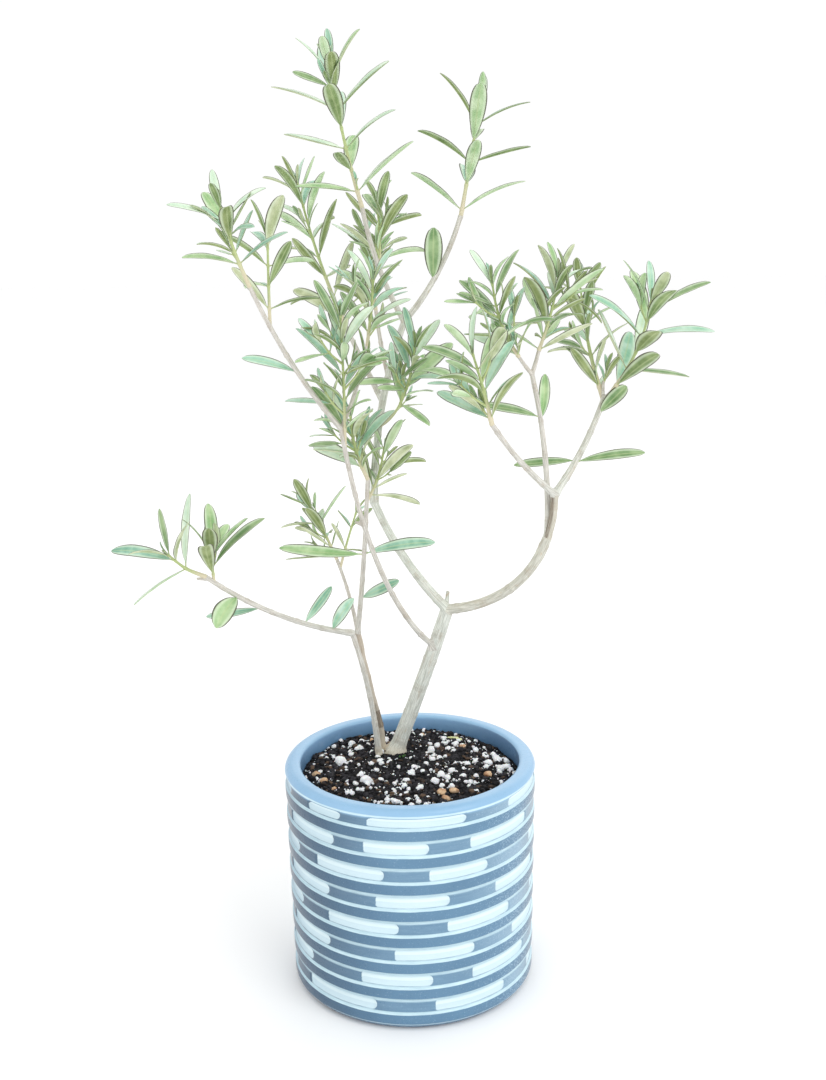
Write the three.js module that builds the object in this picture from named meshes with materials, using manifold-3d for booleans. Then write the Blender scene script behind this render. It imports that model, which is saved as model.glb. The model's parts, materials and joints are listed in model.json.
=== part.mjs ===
// A young olive tree in a round glazed pot: all sizes in millimetres, +Z up,
// origin at the centre of the pot's flat underside.
// Headings are degrees seen from above, 0 towards +X and 90 towards +Y. Rises are degrees above level.
import * as THREE from "three";
import * as BufferGeometryUtils from "three/addons/utils/BufferGeometryUtils.js";
import Module from "manifold-3d";

const wasm = await Module();
wasm.setup();

// Pot
const POT_HEIGHT = 140;
const POT_RADIUS = 76;
const POT_BASE_RADIUS = 74;
const POT_INNER_RADIUS = 66;
const POT_FLOOR = 12;
const POT_SEGMENTS = 36;
const RIM_ROUND = 4.5;
const RIM_INNER_BEVEL = 1.5;
const FOOT_ROUND = 6;
const RIDGE_COUNT = 8;
const RIDGE_PITCH = 16.7;
const TOP_RIDGE_LEVEL = 124.4;
const RIDGE_HALF_HEIGHT = 3.2;
const CHANNEL_BEVEL = 1.3;
const CHANNEL_DEPTH = 1.3;

// Potting soil
const SOIL_TOP = 132;
const SOIL_EDGE = 128.5;
const SOIL_FLAT_RADIUS = 38;

// Clearance between pieces that touch on the real plant
const GAP = 0.3;

// Limbs and twigs
const LIMB_STEP = 13;
const TRUNK_SIDES = 10;
const BOUGH_SIDES = 6;
const TWIG_SIDES = 3;
const TWIG_BASE_RADIUS = 1.15;
const TWIG_TIP_RADIUS = 0.85;
const FLARE_HEIGHT = 9;
const FLARE_SPREAD = 0.45;
const SPHERE_SPACING = 4;

// Leaves
const LEAF_LENGTH_RANGE = [0.88, 1.12];
const LEAF_WIDTH_RATIO = 0.21;
const LEAF_WIDTH_RANGE = [0.85, 1.2];
const LEAF_THICKNESS = 0.75;
const LEAF_TIP_LENGTH = 0.66;
const LEAF_TIP_CROWDING = 4;
const LEAF_ARCH_RATIO = 0.05;
const SINGLE_LEAF_FACE = 45;
const LEAF_ROOT_OFFSET = 0.15;
const LEAF_BALLS = [0.35, 0.6, 0.85, 1];
const LEAF_BALL_RATIO = 0.32;

// Rings of a leaf from its root to its tip: fraction of the length, and of the width and thickness
const LEAF_RINGS = [[0, 0.08, 0.5], [0.38, 0.46, 1], [0.78, 0.5, 0.9], [1, 0, 0]];
const SMALL_LEAF_RINGS = [[0, 0.08, 0.5], [0.58, 0.52, 1], [1, 0, 0]];
const SMALL_LEAF = 32;

// How leaves stand on a stem, in degrees
const LEAF_SPREAD_LOW = 66;
const LEAF_SPREAD_TIP = 36;
const LEAF_SPREAD_CROWDING = 2.5;
const LEAF_SPREAD_SWING = 24;
const PAIR_TURN = 90;
const PAIR_TURN_SWING = 24;
const LAST_PAIR_AT = 0.985;
const NODE_CROWDING = 1.35;

// Side twigs
const SIDE_TWIG = { pairs: 2, bare: 0.55, thick: 0.75 };
const SIDE_TWIG_LEAF = 0.75;
const SIDE_TWIG_LENGTH = [16, 24];
const SIDE_TWIG_LAST_AT = 0.75;
const SIDE_TWIG_TURN = 45;
const SIDE_TWIG_TURN_SWING = 50;
const SIDE_TWIG_LEAN = [0.75, 0.66];
const SIDE_TWIG_BALLS = [0.4, 0.7, 1];
const FIRST_SEED = 101;
const SEED_STEP = 7;

const COLOURS = {
  pot: 0x7a94b4,
  soil: 0x2b211b,
  bark: 0xb9ae9c,
  leaf: 0x7f9c6a,
};

// Each limb leaves its parent at a fraction of the parent's length, or stands on the soil at [x, y].
const LIMBS = [
  {
    name: "trunk", foot: [-9, 26], length: 102,
    heading: [-4, -30], rise: [69, 71], radius: [4.9, 3.9],
  },
  {
    name: "stem_left_front", foot: [-19.4, 23], length: 88,
    heading: [-108, -146], rise: [79, 72], radius: [1.9, 1.6],
  },
  {
    name: "stem_left_back", foot: [-17, 28.5], length: 86,
    heading: [-110, -140], rise: [87, 65], radius: [1.9, 1.6],
  },
  {
    name: "bough_side", from: "trunk", at: 0.74, length: 170,
    heading: [-164, -109], rise: [36, 70], radius: [1.7, 1.3], bend: 0.4,
  },
  {
    name: "bough_centre_low", from: "trunk", at: 1, length: 78,
    heading: [174, 160], rise: [46, 66], radius: [2.9, 2.4],
  },
  {
    name: "bough_centre_high", from: "bough_centre_low", at: 1, length: 110,
    heading: [-30, -10], rise: [89, 69], radius: [2.4, 1.9],
  },
  {
    name: "bough_top", from: "bough_centre_high", at: 1, length: 70,
    heading: [-168, -126], rise: [62, 74], radius: [1.7, 1.3],
  },
  {
    name: "bough_top_right", from: "bough_centre_high", at: 1, length: 70,
    heading: [26, 28], rise: [44, 70], radius: [1.8, 1.4],
  },
  {
    name: "bough_upper_left", from: "bough_centre_high", at: 0.56, length: 52,
    heading: [135, 139], rise: [53, 58], radius: [1.9, 1.4],
  },
  {
    name: "bough_inner_back", from: "bough_centre_high", at: 0.7, length: 42,
    heading: [112, 104], rise: [55, 64], radius: [1.4, 1.2],
  },
  {
    name: "bough_far_left", from: "bough_side", at: 1, length: 97,
    heading: [-142, -134], rise: [48, 62], radius: [1.5, 1.2],
  },
  {
    name: "bough_inner_left", from: "bough_side", at: 1, length: 48,
    heading: [42, 54], rise: [57, 69], radius: [1.3, 1.1],
  },
  {
    name: "bough_right_low", from: "trunk", at: 1, length: 88,
    heading: [-20, -44], rise: [8, 68], radius: [3.1, 2.7],
  },
  {
    name: "bough_right_rise", from: "bough_right_low", at: 1, length: 27,
    heading: [-40, -60], rise: [68, 88], radius: [2.6, 2.4],
  },
  {
    name: "bough_right_front", from: "bough_right_rise", at: 1, length: 80,
    heading: [-130, -124], rise: [33, 43], radius: [1.9, 1.4],
  },
  {
    name: "bough_right_middle", from: "bough_right_low", at: 1, length: 94,
    heading: [150, 172], rise: [92, 77], radius: [1.8, 1.4],
  },
  {
    name: "bough_middle_left", from: "bough_right_middle", at: 1, length: 14,
    heading: [-150, -146], rise: [46, 52], radius: [1.2, 1.1],
  },
  {
    name: "bough_middle_right", from: "bough_right_middle", at: 1, length: 14,
    heading: [42, 56], rise: [64, 62], radius: [1.3, 1.1],
  },
  {
    name: "bough_right_outer", from: "bough_right_rise", at: 1, length: 78,
    heading: [54, 62], rise: [28, 42], radius: [2.2, 1.7],
  },
  {
    name: "bough_outer_right", from: "bough_right_outer", at: 1, length: 8,
    heading: [-10, -28], rise: [40, 52], radius: [1.5, 1.3],
  },
  {
    name: "bough_left", from: "stem_left_front", at: 1, length: 112,
    heading: [-140, -143], rise: [18, 40], radius: [1.8, 1.4],
  },
  {
    name: "bough_up", from: "stem_left_back", at: 1, length: 103,
    heading: [-64, -74], rise: [74, 77], radius: [1.7, 1.3],
  },
  {
    name: "bough_back", from: "stem_left_back", at: 1, length: 53,
    heading: [102, 118], rise: [42, 44], radius: [1.3, 1.1],
  },
];

// Each mass of foliage grows on one leafy stem. The first pair of leaves sits at the fraction "bare"
// of the stem, "turn" rolls it about the stem, and each next pair stands across the one before.
const MASSES = [
  {
    name: "foliage_top", from: "bough_top", at: 1,
    length: 77, heading: [-128, -116], rise: [66, 74],
    pairs: 8, bare: 0.12, leaf: 37, turn: 0, twigs: 0,
  },
  {
    name: "foliage_top_right", from: "bough_top_right", at: 1,
    length: 59, heading: [44, 34], rise: [74, 79],
    pairs: 6, bare: 0.06, leaf: 37, turn: 0, twigs: 0,
  },
  {
    name: "foliage_top_side", from: "bough_top", at: 0.45,
    length: 40, heading: [95, 92], rise: [60, 66],
    pairs: 5, bare: 0.2, leaf: 29, turn: 30, twigs: 1,
  },
  {
    name: "foliage_upper_left", from: "bough_upper_left", at: 1,
    length: 90, heading: [137, 134], rise: [58, 72],
    pairs: 9, bare: 0.05, leaf: 33, turn: 60, twigs: 0,
  },
  {
    name: "foliage_far_left", from: "bough_far_left", at: 1,
    length: 42, heading: [-144, -116], rise: [64, 69],
    pairs: 4, bare: 0.3, leaf: 31, turn: 10, twigs: 0,
  },
  {
    name: "foliage_far_side", from: "bough_far_left", at: 0.75,
    length: 50, heading: [96, 92], rise: [58, 66],
    pairs: 5, bare: 0.2, leaf: 29, turn: 40, twigs: 0,
  },
  {
    name: "foliage_inner_left", from: "bough_inner_left", at: 1,
    length: 36, heading: [-40, -60], rise: [78, 80],
    pairs: 4, bare: 0.2, leaf: 30, turn: 135, twigs: 1,
  },
  {
    name: "foliage_inner_back", from: "bough_inner_back", at: 1,
    length: 45, heading: [115, 130], rise: [76, 79],
    pairs: 5, bare: 0.1, leaf: 28, turn: 50, twigs: 1,
  },
  {
    name: "foliage_centre_left", from: "bough_side", at: 0.92,
    length: 80, heading: [-84, -92], rise: [70, 71],
    pairs: 6, bare: 0.18, leaf: 33, turn: 135, twigs: 3,
  },
  {
    name: "foliage_centre_right", from: "bough_centre_high", at: 0.42,
    length: 72, heading: [-58, -69], rise: [22, 72],
    pairs: 5, bare: 0.45, leaf: 34, turn: 135, twigs: 1,
  },
  {
    name: "foliage_mid_left", from: "bough_up", at: 1,
    length: 42, heading: [-135, -100], rise: [56, 78],
    pairs: 5, bare: 0.2, leaf: 33, turn: 135, twigs: 1,
  },
  {
    name: "foliage_mid_right", from: "bough_up", at: 0.86,
    length: 36, heading: [55, 72], rise: [38, 64],
    pairs: 5, bare: 0.15, leaf: 32, turn: 20, twigs: 0,
  },
  {
    name: "foliage_back", from: "bough_back", at: 1,
    length: 41, heading: [128, 144], rise: [52, 50],
    pairs: 5, bare: 0.08, leaf: 28, turn: 10, twigs: 0,
  },
  {
    name: "foliage_back_side", from: "bough_back", at: 0.88,
    length: 38, heading: [70, 60], rise: [50, 54],
    pairs: 3, bare: 0.35, leaf: 20, turn: 40, twigs: 0,
  },
  {
    name: "foliage_left_upright", from: "bough_left", at: 0.94,
    length: 17, heading: [-95, -85], rise: [76, 76],
    pairs: 4, bare: 0.3, leaf: 44, turn: 100, twigs: 0,
  },
  {
    name: "foliage_left_end", from: "bough_left", at: 1,
    length: 26, heading: [-146, -150], rise: [24, 50],
    pairs: 3, bare: 0.5, leaf: 40, turn: 55, twigs: 0,
  },
  {
    name: "foliage_right_front", from: "bough_right_front", at: 1,
    length: 39, heading: [-150, -150], rise: [76, 70],
    pairs: 4, bare: 0.08, leaf: 37, turn: 135, twigs: 2,
  },
  {
    name: "foliage_middle_left", from: "bough_middle_left", at: 1,
    length: 46, heading: [-148, -125], rise: [50, 77],
    pairs: 5, bare: 0.02, leaf: 31, turn: -45, twigs: 2,
  },
  {
    name: "foliage_middle_right", from: "bough_middle_right", at: 1,
    length: 42, heading: [40, 50], rise: [60, 74],
    pairs: 5, bare: 0.02, leaf: 36, turn: 135, twigs: 2,
  },
  {
    name: "foliage_outer_left", from: "bough_right_outer", at: 1,
    length: 68, heading: [128, 112], rise: [62, 78],
    pairs: 5, bare: 0.12, leaf: 33, turn: 70, twigs: 0,
  },
  {
    name: "foliage_outer_right", from: "bough_outer_right", at: 1,
    length: 58, heading: [-12, -62], rise: [54, 78],
    pairs: 7, bare: 0.06, leaf: 42, turn: 100, twigs: 0,
  },
];

// Single leaves that stand straight on a bough, their upper faces turned partly to the front.
const LEAVES = [
  {
    name: "leaf_top_right", from: "bough_top_right", at: 0.42,
    heading: 70, rise: 86, length: 30, width: 10,
  },
  {
    name: "leaf_up_left", from: "bough_up", at: 0.53,
    heading: 178, rise: 6, length: 50, width: 8,
  },
  {
    name: "leaf_up_right", from: "bough_up", at: 0.53,
    heading: 0, rise: 10, length: 42, width: 7,
  },
  {
    name: "leaf_left_oval", from: "bough_left", at: 0.78,
    heading: -120, rise: -30, length: 24, width: 11,
  },
  {
    name: "leaf_left_low", from: "bough_left", at: 0.62,
    heading: 165, rise: -12, length: 35, width: 5,
  },
  {
    name: "leaf_left_inner", from: "bough_left", at: 0.33,
    heading: 45, rise: 38, length: 28, width: 6,
  },
  {
    name: "leaf_left_pale", from: "bough_left", at: 0.14,
    heading: -25, rise: 54, length: 26, width: 8,
  },
  {
    name: "leaf_up_low", from: "bough_up", at: 0.24,
    heading: -10, rise: 26, length: 26, width: 8,
  },
  {
    name: "leaf_outer_right", from: "bough_right_outer", at: 0.36,
    heading: -4, rise: 9, length: 40, width: 6,
  },
  {
    name: "leaf_outer_left", from: "bough_right_outer", at: 0.38,
    heading: 176, rise: -4, length: 36, width: 6,
  },
  {
    name: "leaf_fork_right", from: "bough_right_outer", at: 0.86,
    heading: 20, rise: 40, length: 24, width: 8,
  },
  {
    name: "leaf_far_low", from: "bough_far_left", at: 0.44,
    heading: -168, rise: 18, length: 30, width: 5,
  },
  {
    name: "leaf_middle_low", from: "bough_right_middle", at: 0.72,
    heading: 60, rise: 78, length: 26, width: 6,
  },
  {
    name: "leaf_middle_side", from: "bough_right_middle", at: 0.74,
    heading: 178, rise: 12, length: 34, width: 6,
  },
];

// Seeded numbers from 0 to 1
function seededNumbers(seed) {
  let state = seed >>> 0;
  return () => {
    state = (Math.imul(state, 1664525) + 1013904223) >>> 0;
    return state / 4294967296;
  };
}

const radians = THREE.MathUtils.degToRad;
const mix = THREE.MathUtils.lerp;

function direction(heading, rise) {
  const level = Math.cos(radians(rise));
  return new THREE.Vector3(
    level * Math.cos(radians(heading)),
    level * Math.sin(radians(heading)),
    Math.sin(radians(rise)),
  );
}

// A limb turns from its first heading and rise to its last: evenly, or early where bend is below 1.
function tracePath(start, row) {
  const count = Math.max(2, Math.round(row.length / LIMB_STEP));
  const points = [start.clone()];
  for (let i = 0; i < count; i += 1) {
    const fraction = ((i + 0.5) / count) ** (row.bend ?? 1);
    const heading = mix(row.heading[0], row.heading[1], fraction);
    const rise = mix(row.rise[0], row.rise[1], fraction);
    const step = direction(heading, rise).multiplyScalar(row.length / count);
    points.push(points[i].clone().add(step));
  }
  return new THREE.CatmullRomCurve3(points);
}

// Meshes and solids
function toSolid(geometry) {
  const bare = geometry.clone();
  bare.deleteAttribute("normal");
  bare.deleteAttribute("uv");
  const merged = BufferGeometryUtils.mergeVertices(bare, 1e-4);
  return new wasm.Manifold(new wasm.Mesh({
    numProp: 3,
    vertProperties: new Float32Array(merged.attributes.position.array),
    triVerts: new Uint32Array(merged.index.array),
  }));
}

// Only the largest body is kept, so that a scrap which a cut leaves loose is dropped.
function toGeometry(solid) {
  const mesh = solid.getMesh();
  const triangles = mesh.triVerts;
  const root = Array.from({ length: mesh.vertProperties.length / mesh.numProp }, (_, i) => i);
  const find = (i) => {
    while (root[i] !== i) {
      i = root[i];
    }
    return i;
  };
  for (let i = 0; i < triangles.length; i += 3) {
    root[find(triangles[i + 1])] = find(triangles[i]);
    root[find(triangles[i + 2])] = find(triangles[i]);
  }
  const counts = new Map();
  for (const vertex of triangles) {
    const body = find(vertex);
    counts.set(body, (counts.get(body) ?? 0) + 1);
  }
  const largest = [...counts].sort((a, b) => b[1] - a[1])[0][0];
  const kept = [];
  for (let i = 0; i < triangles.length; i += 3) {
    if (find(triangles[i]) === largest) {
      kept.push(triangles[i], triangles[i + 1], triangles[i + 2]);
    }
  }
  const positions = new Float32Array(mesh.vertProperties);
  const geometry = new THREE.BufferGeometry();
  geometry.setAttribute("position", new THREE.BufferAttribute(positions, 3));
  geometry.setIndex(kept);
  geometry.computeVertexNormals();
  return geometry;
}

// A closed cylinder whose rings are carried along a path. radiusAt gives the radius at a fraction of
// the length, margin swells the limb all round, and level, where given, lays the first ring flat.
function limbGeometry(path, radiusAt, sides, steps, margin = 0, level = undefined) {
  const geometry = new THREE.CylinderGeometry(1, 1, 1, sides, steps);
  const frames = path.computeFrenetFrames(steps, false);
  const position = geometry.attributes.position;
  const point = new THREE.Vector3();
  for (let i = 0; i < position.count; i += 1) {
    const fraction = position.getY(i) + 0.5;
    const ring = Math.round(fraction * steps);
    const radius = radiusAt(fraction) + margin;
    path.getPointAt(fraction, point);
    if (ring === 0 || ring === steps) {
      point.addScaledVector(frames.tangents[ring], ring === 0 ? -margin : margin);
    }
    point.addScaledVector(frames.normals[ring], position.getX(i) * radius);
    point.addScaledVector(frames.binormals[ring], -position.getZ(i) * radius);
    if (level !== undefined && ring === 0) {
      point.z = level - margin;
    }
    position.setXYZ(i, point.x, point.y, point.z);
  }
  return geometry;
}

// Spheres along every limb, stem and leaf keep the masses clear of each other.
const spheres = [];

function addSpheres(owner, path, length, radiusAt) {
  const count = Math.ceil(length / SPHERE_SPACING);
  for (let i = 0; i <= count; i += 1) {
    spheres.push({ owner, centre: path.getPointAt(i / count), radius: radiusAt(i / count) });
  }
}

function isClear(owner, balls) {
  return balls.every((ball) => spheres.every((other) => (
    other.owner === owner
    || other.centre.distanceTo(ball.centre) > other.radius + ball.radius + GAP
  )));
}

// Limbs
const limbs = new Map();

function limbStart(row) {
  if (row.foot) {
    return new THREE.Vector3(row.foot[0], row.foot[1], SOIL_TOP + GAP);
  }
  return limbs.get(row.from).path.getPointAt(row.at);
}

function growLimb(row) {
  const path = tracePath(limbStart(row), row);
  const steps = Math.max(2, Math.round(row.length / LIMB_STEP));
  const flared = row.foot !== undefined;
  const radiusAt = (fraction) => {
    const height = fraction * row.length;
    const flare = flared ? FLARE_SPREAD * Math.max(0, 1 - height / FLARE_HEIGHT) ** 2 : 0;
    return mix(row.radius[0], row.radius[1], fraction) * (1 + flare);
  };
  const sides = row.name === "trunk" ? TRUNK_SIDES : BOUGH_SIDES;
  const level = flared ? SOIL_TOP + GAP : undefined;
  let solid = toSolid(limbGeometry(path, radiusAt, sides, steps, 0, level));
  const wider = toSolid(limbGeometry(path, radiusAt, sides, steps, GAP, level));
  for (const other of limbs.values()) {
    solid = solid.subtract(other.wider);
  }
  limbs.set(row.name, { path, radiusAt, solid, wider });
  addSpheres(row.name, path, row.length, radiusAt);
}

// A leaf is a three-sided cone, flattened to a blade with a keel below and bent into a low arch.
function leafGeometry(root, along, up, length, width) {
  const rings = length < SMALL_LEAF ? SMALL_LEAF_RINGS : LEAF_RINGS;
  const steps = rings.length - 1;
  const geometry = new THREE.ConeGeometry(1, 1, 3, steps);
  const across = new THREE.Vector3().crossVectors(up, along).normalize();
  const face = new THREE.Vector3().crossVectors(along, across).normalize();
  const position = geometry.attributes.position;
  const point = new THREE.Vector3();
  for (let i = 0; i < position.count; i += 1) {
    const ring = Math.round((position.getY(i) + 0.5) * steps);
    const [fraction, widthShare, depthShare] = rings[ring];
    const outer = Math.max(Math.hypot(position.getX(i), position.getZ(i)), 1e-6);
    const side = position.getX(i) / outer / Math.sin(radians(120));
    const depth = position.getZ(i) / outer;
    const arch = LEAF_ARCH_RATIO * length * 4 * fraction * (1 - fraction);
    point.copy(root).addScaledVector(along, fraction * length);
    point.addScaledVector(across, side * widthShare * width);
    point.addScaledVector(face, arch - depth * depthShare * LEAF_THICKNESS);
    position.setXYZ(i, point.x, point.y, point.z);
  }
  return geometry;
}

function blended(first, firstShare, second, secondShare) {
  return first.clone().multiplyScalar(firstShare).addScaledVector(second, secondShare);
}

// The way off a stem at a roll about it, measured from the side of the stem that lies square to +Y
function stemSpoke(tangent, roll) {
  const side = new THREE.Vector3(0, 1, 0).cross(tangent).normalize();
  const deep = new THREE.Vector3().crossVectors(tangent, side).normalize();
  return blended(side, Math.cos(roll), deep, Math.sin(roll));
}

function leafBalls(root, along, length, width) {
  return LEAF_BALLS.map((fraction) => ({
    centre: root.clone().addScaledVector(along, fraction * length),
    radius: width * LEAF_BALL_RATIO,
  }));
}

// The leaves and side twigs of one leafy stem. Each leaf that would touch another piece is skipped.
function growStem(row, path, random, parts, depth) {
  const radiusAt = (fraction) => mix(row.thick ?? TWIG_BASE_RADIUS, TWIG_TIP_RADIUS, fraction);
  const steps = Math.max(3, row.pairs);
  parts.push(toSolid(limbGeometry(path, radiusAt, TWIG_SIDES, steps)));
  for (let k = 0; k < row.pairs; k += 1) {
    growPair(row, path, random, parts, k);
  }
  if (depth === 0) {
    for (let k = 0; k < row.twigs; k += 1) {
      growSideTwig(row, path, random, parts, k);
    }
  }
}

function growPair(row, path, random, parts, k) {
  const age = row.pairs > 1 ? k / (row.pairs - 1) : 1;
  const fraction = mix(LAST_PAIR_AT, row.bare, (1 - age) ** NODE_CROWDING);
  const node = path.getPointAt(fraction);
  const tangent = path.getTangentAt(fraction);
  const roll = radians(row.turn + PAIR_TURN * k + PAIR_TURN_SWING * (random() - 0.5));
  const spoke = stemSpoke(tangent, roll);
  for (const way of [1, -1]) {
    const lean = mix(LEAF_SPREAD_LOW, LEAF_SPREAD_TIP, age ** LEAF_SPREAD_CROWDING);
    const spread = radians(lean + LEAF_SPREAD_SWING * (random() - 0.5));
    const shortening = mix(1, LEAF_TIP_LENGTH, age ** LEAF_TIP_CROWDING);
    const length = row.leaf * shortening * mix(...LEAF_LENGTH_RANGE, random());
    const width = length * LEAF_WIDTH_RATIO * mix(...LEAF_WIDTH_RANGE, random());
    const outward = spoke.clone().multiplyScalar(way);
    const along = blended(tangent, Math.cos(spread), outward, Math.sin(spread));
    const up = blended(tangent, Math.sin(spread), outward, -Math.cos(spread));
    const balls = leafBalls(node, along, length, width);
    if (isClear(row.owner, balls)) {
      const root = node.clone().addScaledVector(outward, LEAF_ROOT_OFFSET);
      parts.push(toSolid(leafGeometry(root, along, up, length, width)));
      balls.forEach((ball) => spheres.push({ owner: row.owner, ...ball }));
    }
  }
}

function growSideTwig(row, path, random, parts, k) {
  const fraction = mix(row.bare, SIDE_TWIG_LAST_AT, (k + 0.5) / row.twigs);
  const tangent = path.getTangentAt(fraction);
  const swing = SIDE_TWIG_TURN_SWING * (random() - 0.5);
  const spoke = stemSpoke(tangent, radians(row.turn + SIDE_TWIG_TURN + 180 * k + swing));
  const length = mix(...SIDE_TWIG_LENGTH, random());
  const lean = blended(tangent, SIDE_TWIG_LEAN[0], spoke, SIDE_TWIG_LEAN[1]);
  const start = path.getPointAt(fraction);
  const middle = start.clone().addScaledVector(lean, length * 0.5);
  const end = middle.clone().addScaledVector(lean, length * 0.35);
  end.addScaledVector(tangent, length * 0.15);
  const twigPath = new THREE.CatmullRomCurve3([start, middle, end]);
  const balls = SIDE_TWIG_BALLS.map((at) => ({
    centre: twigPath.getPointAt(at),
    radius: TWIG_TIP_RADIUS,
  }));
  if (!isClear(row.owner, balls)) {
    return;
  }
  const twig = {
    ...SIDE_TWIG, owner: row.owner, leaf: row.leaf * SIDE_TWIG_LEAF, turn: 180 * random(),
  };
  growStem(twig, twigPath, random, parts, 1);
}

function fuse(parts) {
  let solid = parts[0];
  for (const part of parts.slice(1)) {
    solid = solid.add(part);
  }
  for (const other of limbs.values()) {
    solid = solid.subtract(other.wider);
  }
  return solid;
}

// Pot: one turned profile with level ridges between sunk channels
function potRadiusAt(level) {
  return mix(POT_BASE_RADIUS, POT_RADIUS, level / POT_HEIGHT);
}

function potProfile() {
  const outline = new THREE.Path();
  outline.moveTo(0, 0);
  outline.lineTo(POT_BASE_RADIUS - FOOT_ROUND, 0);
  outline.absarc(POT_BASE_RADIUS - FOOT_ROUND, FOOT_ROUND, FOOT_ROUND, -Math.PI / 2, 0);
  const points = outline.getPoints(4);
  for (let i = RIDGE_COUNT - 1; i >= 0; i -= 1) {
    const level = TOP_RIDGE_LEVEL - i * RIDGE_PITCH;
    const channelTop = i === 0 ? POT_HEIGHT - RIM_ROUND : level + RIDGE_PITCH - RIDGE_HALF_HEIGHT;
    if (i < RIDGE_COUNT - 1) {
      points.push(new THREE.Vector2(potRadiusAt(level), level - RIDGE_HALF_HEIGHT));
    }
    points.push(new THREE.Vector2(potRadiusAt(level), level + RIDGE_HALF_HEIGHT));
    const low = level + RIDGE_HALF_HEIGHT + CHANNEL_BEVEL;
    const high = channelTop - CHANNEL_BEVEL;
    points.push(new THREE.Vector2(potRadiusAt(low) - CHANNEL_DEPTH, low));
    points.push(new THREE.Vector2(potRadiusAt(high) - CHANNEL_DEPTH, high));
  }
  const rim = new THREE.Path();
  rim.absarc(POT_RADIUS - RIM_ROUND, POT_HEIGHT - RIM_ROUND, RIM_ROUND, 0, Math.PI / 2);
  rim.lineTo(POT_INNER_RADIUS + RIM_INNER_BEVEL, POT_HEIGHT);
  rim.lineTo(POT_INNER_RADIUS, POT_HEIGHT - RIM_INNER_BEVEL);
  rim.lineTo(POT_INNER_RADIUS, POT_FLOOR);
  rim.lineTo(0, POT_FLOOR);
  return points.concat(rim.getPoints(3));
}

function turned(profile) {
  return new THREE.LatheGeometry(profile, POT_SEGMENTS).rotateX(Math.PI / 2);
}

function soilProfile() {
  const radius = POT_INNER_RADIUS - GAP;
  return [
    [0, POT_FLOOR + GAP],
    [radius, POT_FLOOR + GAP],
    [radius, SOIL_EDGE],
    [SOIL_FLAT_RADIUS, SOIL_TOP],
    [0, SOIL_TOP],
  ].map(([x, y]) => new THREE.Vector2(x, y));
}

// The whole plant
const plant = new THREE.Group();

function addMesh(name, geometry, colour, roughness) {
  const material = new THREE.MeshStandardMaterial({ color: colour, roughness, metalness: 0 });
  const mesh = new THREE.Mesh(geometry, material);
  mesh.name = name;
  plant.add(mesh);
}

addMesh("pot", turned(potProfile()), COLOURS.pot, 0.35);
addMesh("soil", turned(soilProfile()), COLOURS.soil, 0.95);

for (const row of LIMBS) {
  growLimb(row);
  addMesh(row.name, toGeometry(limbs.get(row.name).solid), COLOURS.bark, 0.8);
}

const stems = MASSES.map((row) => {
  const path = tracePath(limbStart(row), row);
  addSpheres(row.name, path, row.length, () => TWIG_BASE_RADIUS);
  return path;
});

LEAVES.forEach((row) => {
  const root = limbStart(row);
  const along = direction(row.heading, row.rise);
  const up = direction(-90, SINGLE_LEAF_FACE);
  const balls = leafBalls(root, along, row.length, row.width);
  balls.forEach((ball) => spheres.push({ owner: row.name, ...ball }));
  const solid = fuse([toSolid(leafGeometry(root, along, up, row.length, row.width))]);
  addMesh(row.name, toGeometry(solid), COLOURS.leaf, 0.6);
});

MASSES.forEach((row, index) => {
  const parts = [];
  const random = seededNumbers(FIRST_SEED + SEED_STEP * index);
  growStem({ ...row, owner: row.name }, stems[index], random, parts, 0);
  addMesh(row.name, toGeometry(fuse(parts)), COLOURS.leaf, 0.6);
});

export default plant;
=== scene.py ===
"""A young olive tree in a round glazed pot: the looks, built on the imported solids.

Sizes are in millimetres until a mesh is made, +Z is up and the plant is seen from -Y.
Headings are degrees seen from above, 0 towards +X and 90 towards +Y. Rises are degrees above level.
"""

import json
import math

import bmesh
import bpy
import numpy as np
from mathutils import Matrix
from mathutils.kdtree import KDTree

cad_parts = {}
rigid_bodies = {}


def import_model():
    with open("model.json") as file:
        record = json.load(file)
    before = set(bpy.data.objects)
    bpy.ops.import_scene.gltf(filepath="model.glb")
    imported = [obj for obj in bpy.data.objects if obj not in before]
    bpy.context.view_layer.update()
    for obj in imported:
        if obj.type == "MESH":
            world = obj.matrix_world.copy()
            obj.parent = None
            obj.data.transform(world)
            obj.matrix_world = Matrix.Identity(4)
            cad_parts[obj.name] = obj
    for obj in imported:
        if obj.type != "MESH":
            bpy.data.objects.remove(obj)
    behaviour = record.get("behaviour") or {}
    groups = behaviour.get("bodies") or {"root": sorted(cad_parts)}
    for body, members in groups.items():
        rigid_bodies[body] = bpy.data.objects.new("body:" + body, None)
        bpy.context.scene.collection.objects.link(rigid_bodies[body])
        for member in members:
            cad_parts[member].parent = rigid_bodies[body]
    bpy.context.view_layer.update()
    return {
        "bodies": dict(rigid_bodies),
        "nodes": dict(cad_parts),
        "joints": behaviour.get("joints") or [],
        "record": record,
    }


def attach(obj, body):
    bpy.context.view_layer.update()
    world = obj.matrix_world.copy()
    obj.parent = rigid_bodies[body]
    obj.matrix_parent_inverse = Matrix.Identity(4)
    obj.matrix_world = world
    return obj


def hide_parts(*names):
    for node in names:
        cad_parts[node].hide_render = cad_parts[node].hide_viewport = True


MM = 0.001

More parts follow.
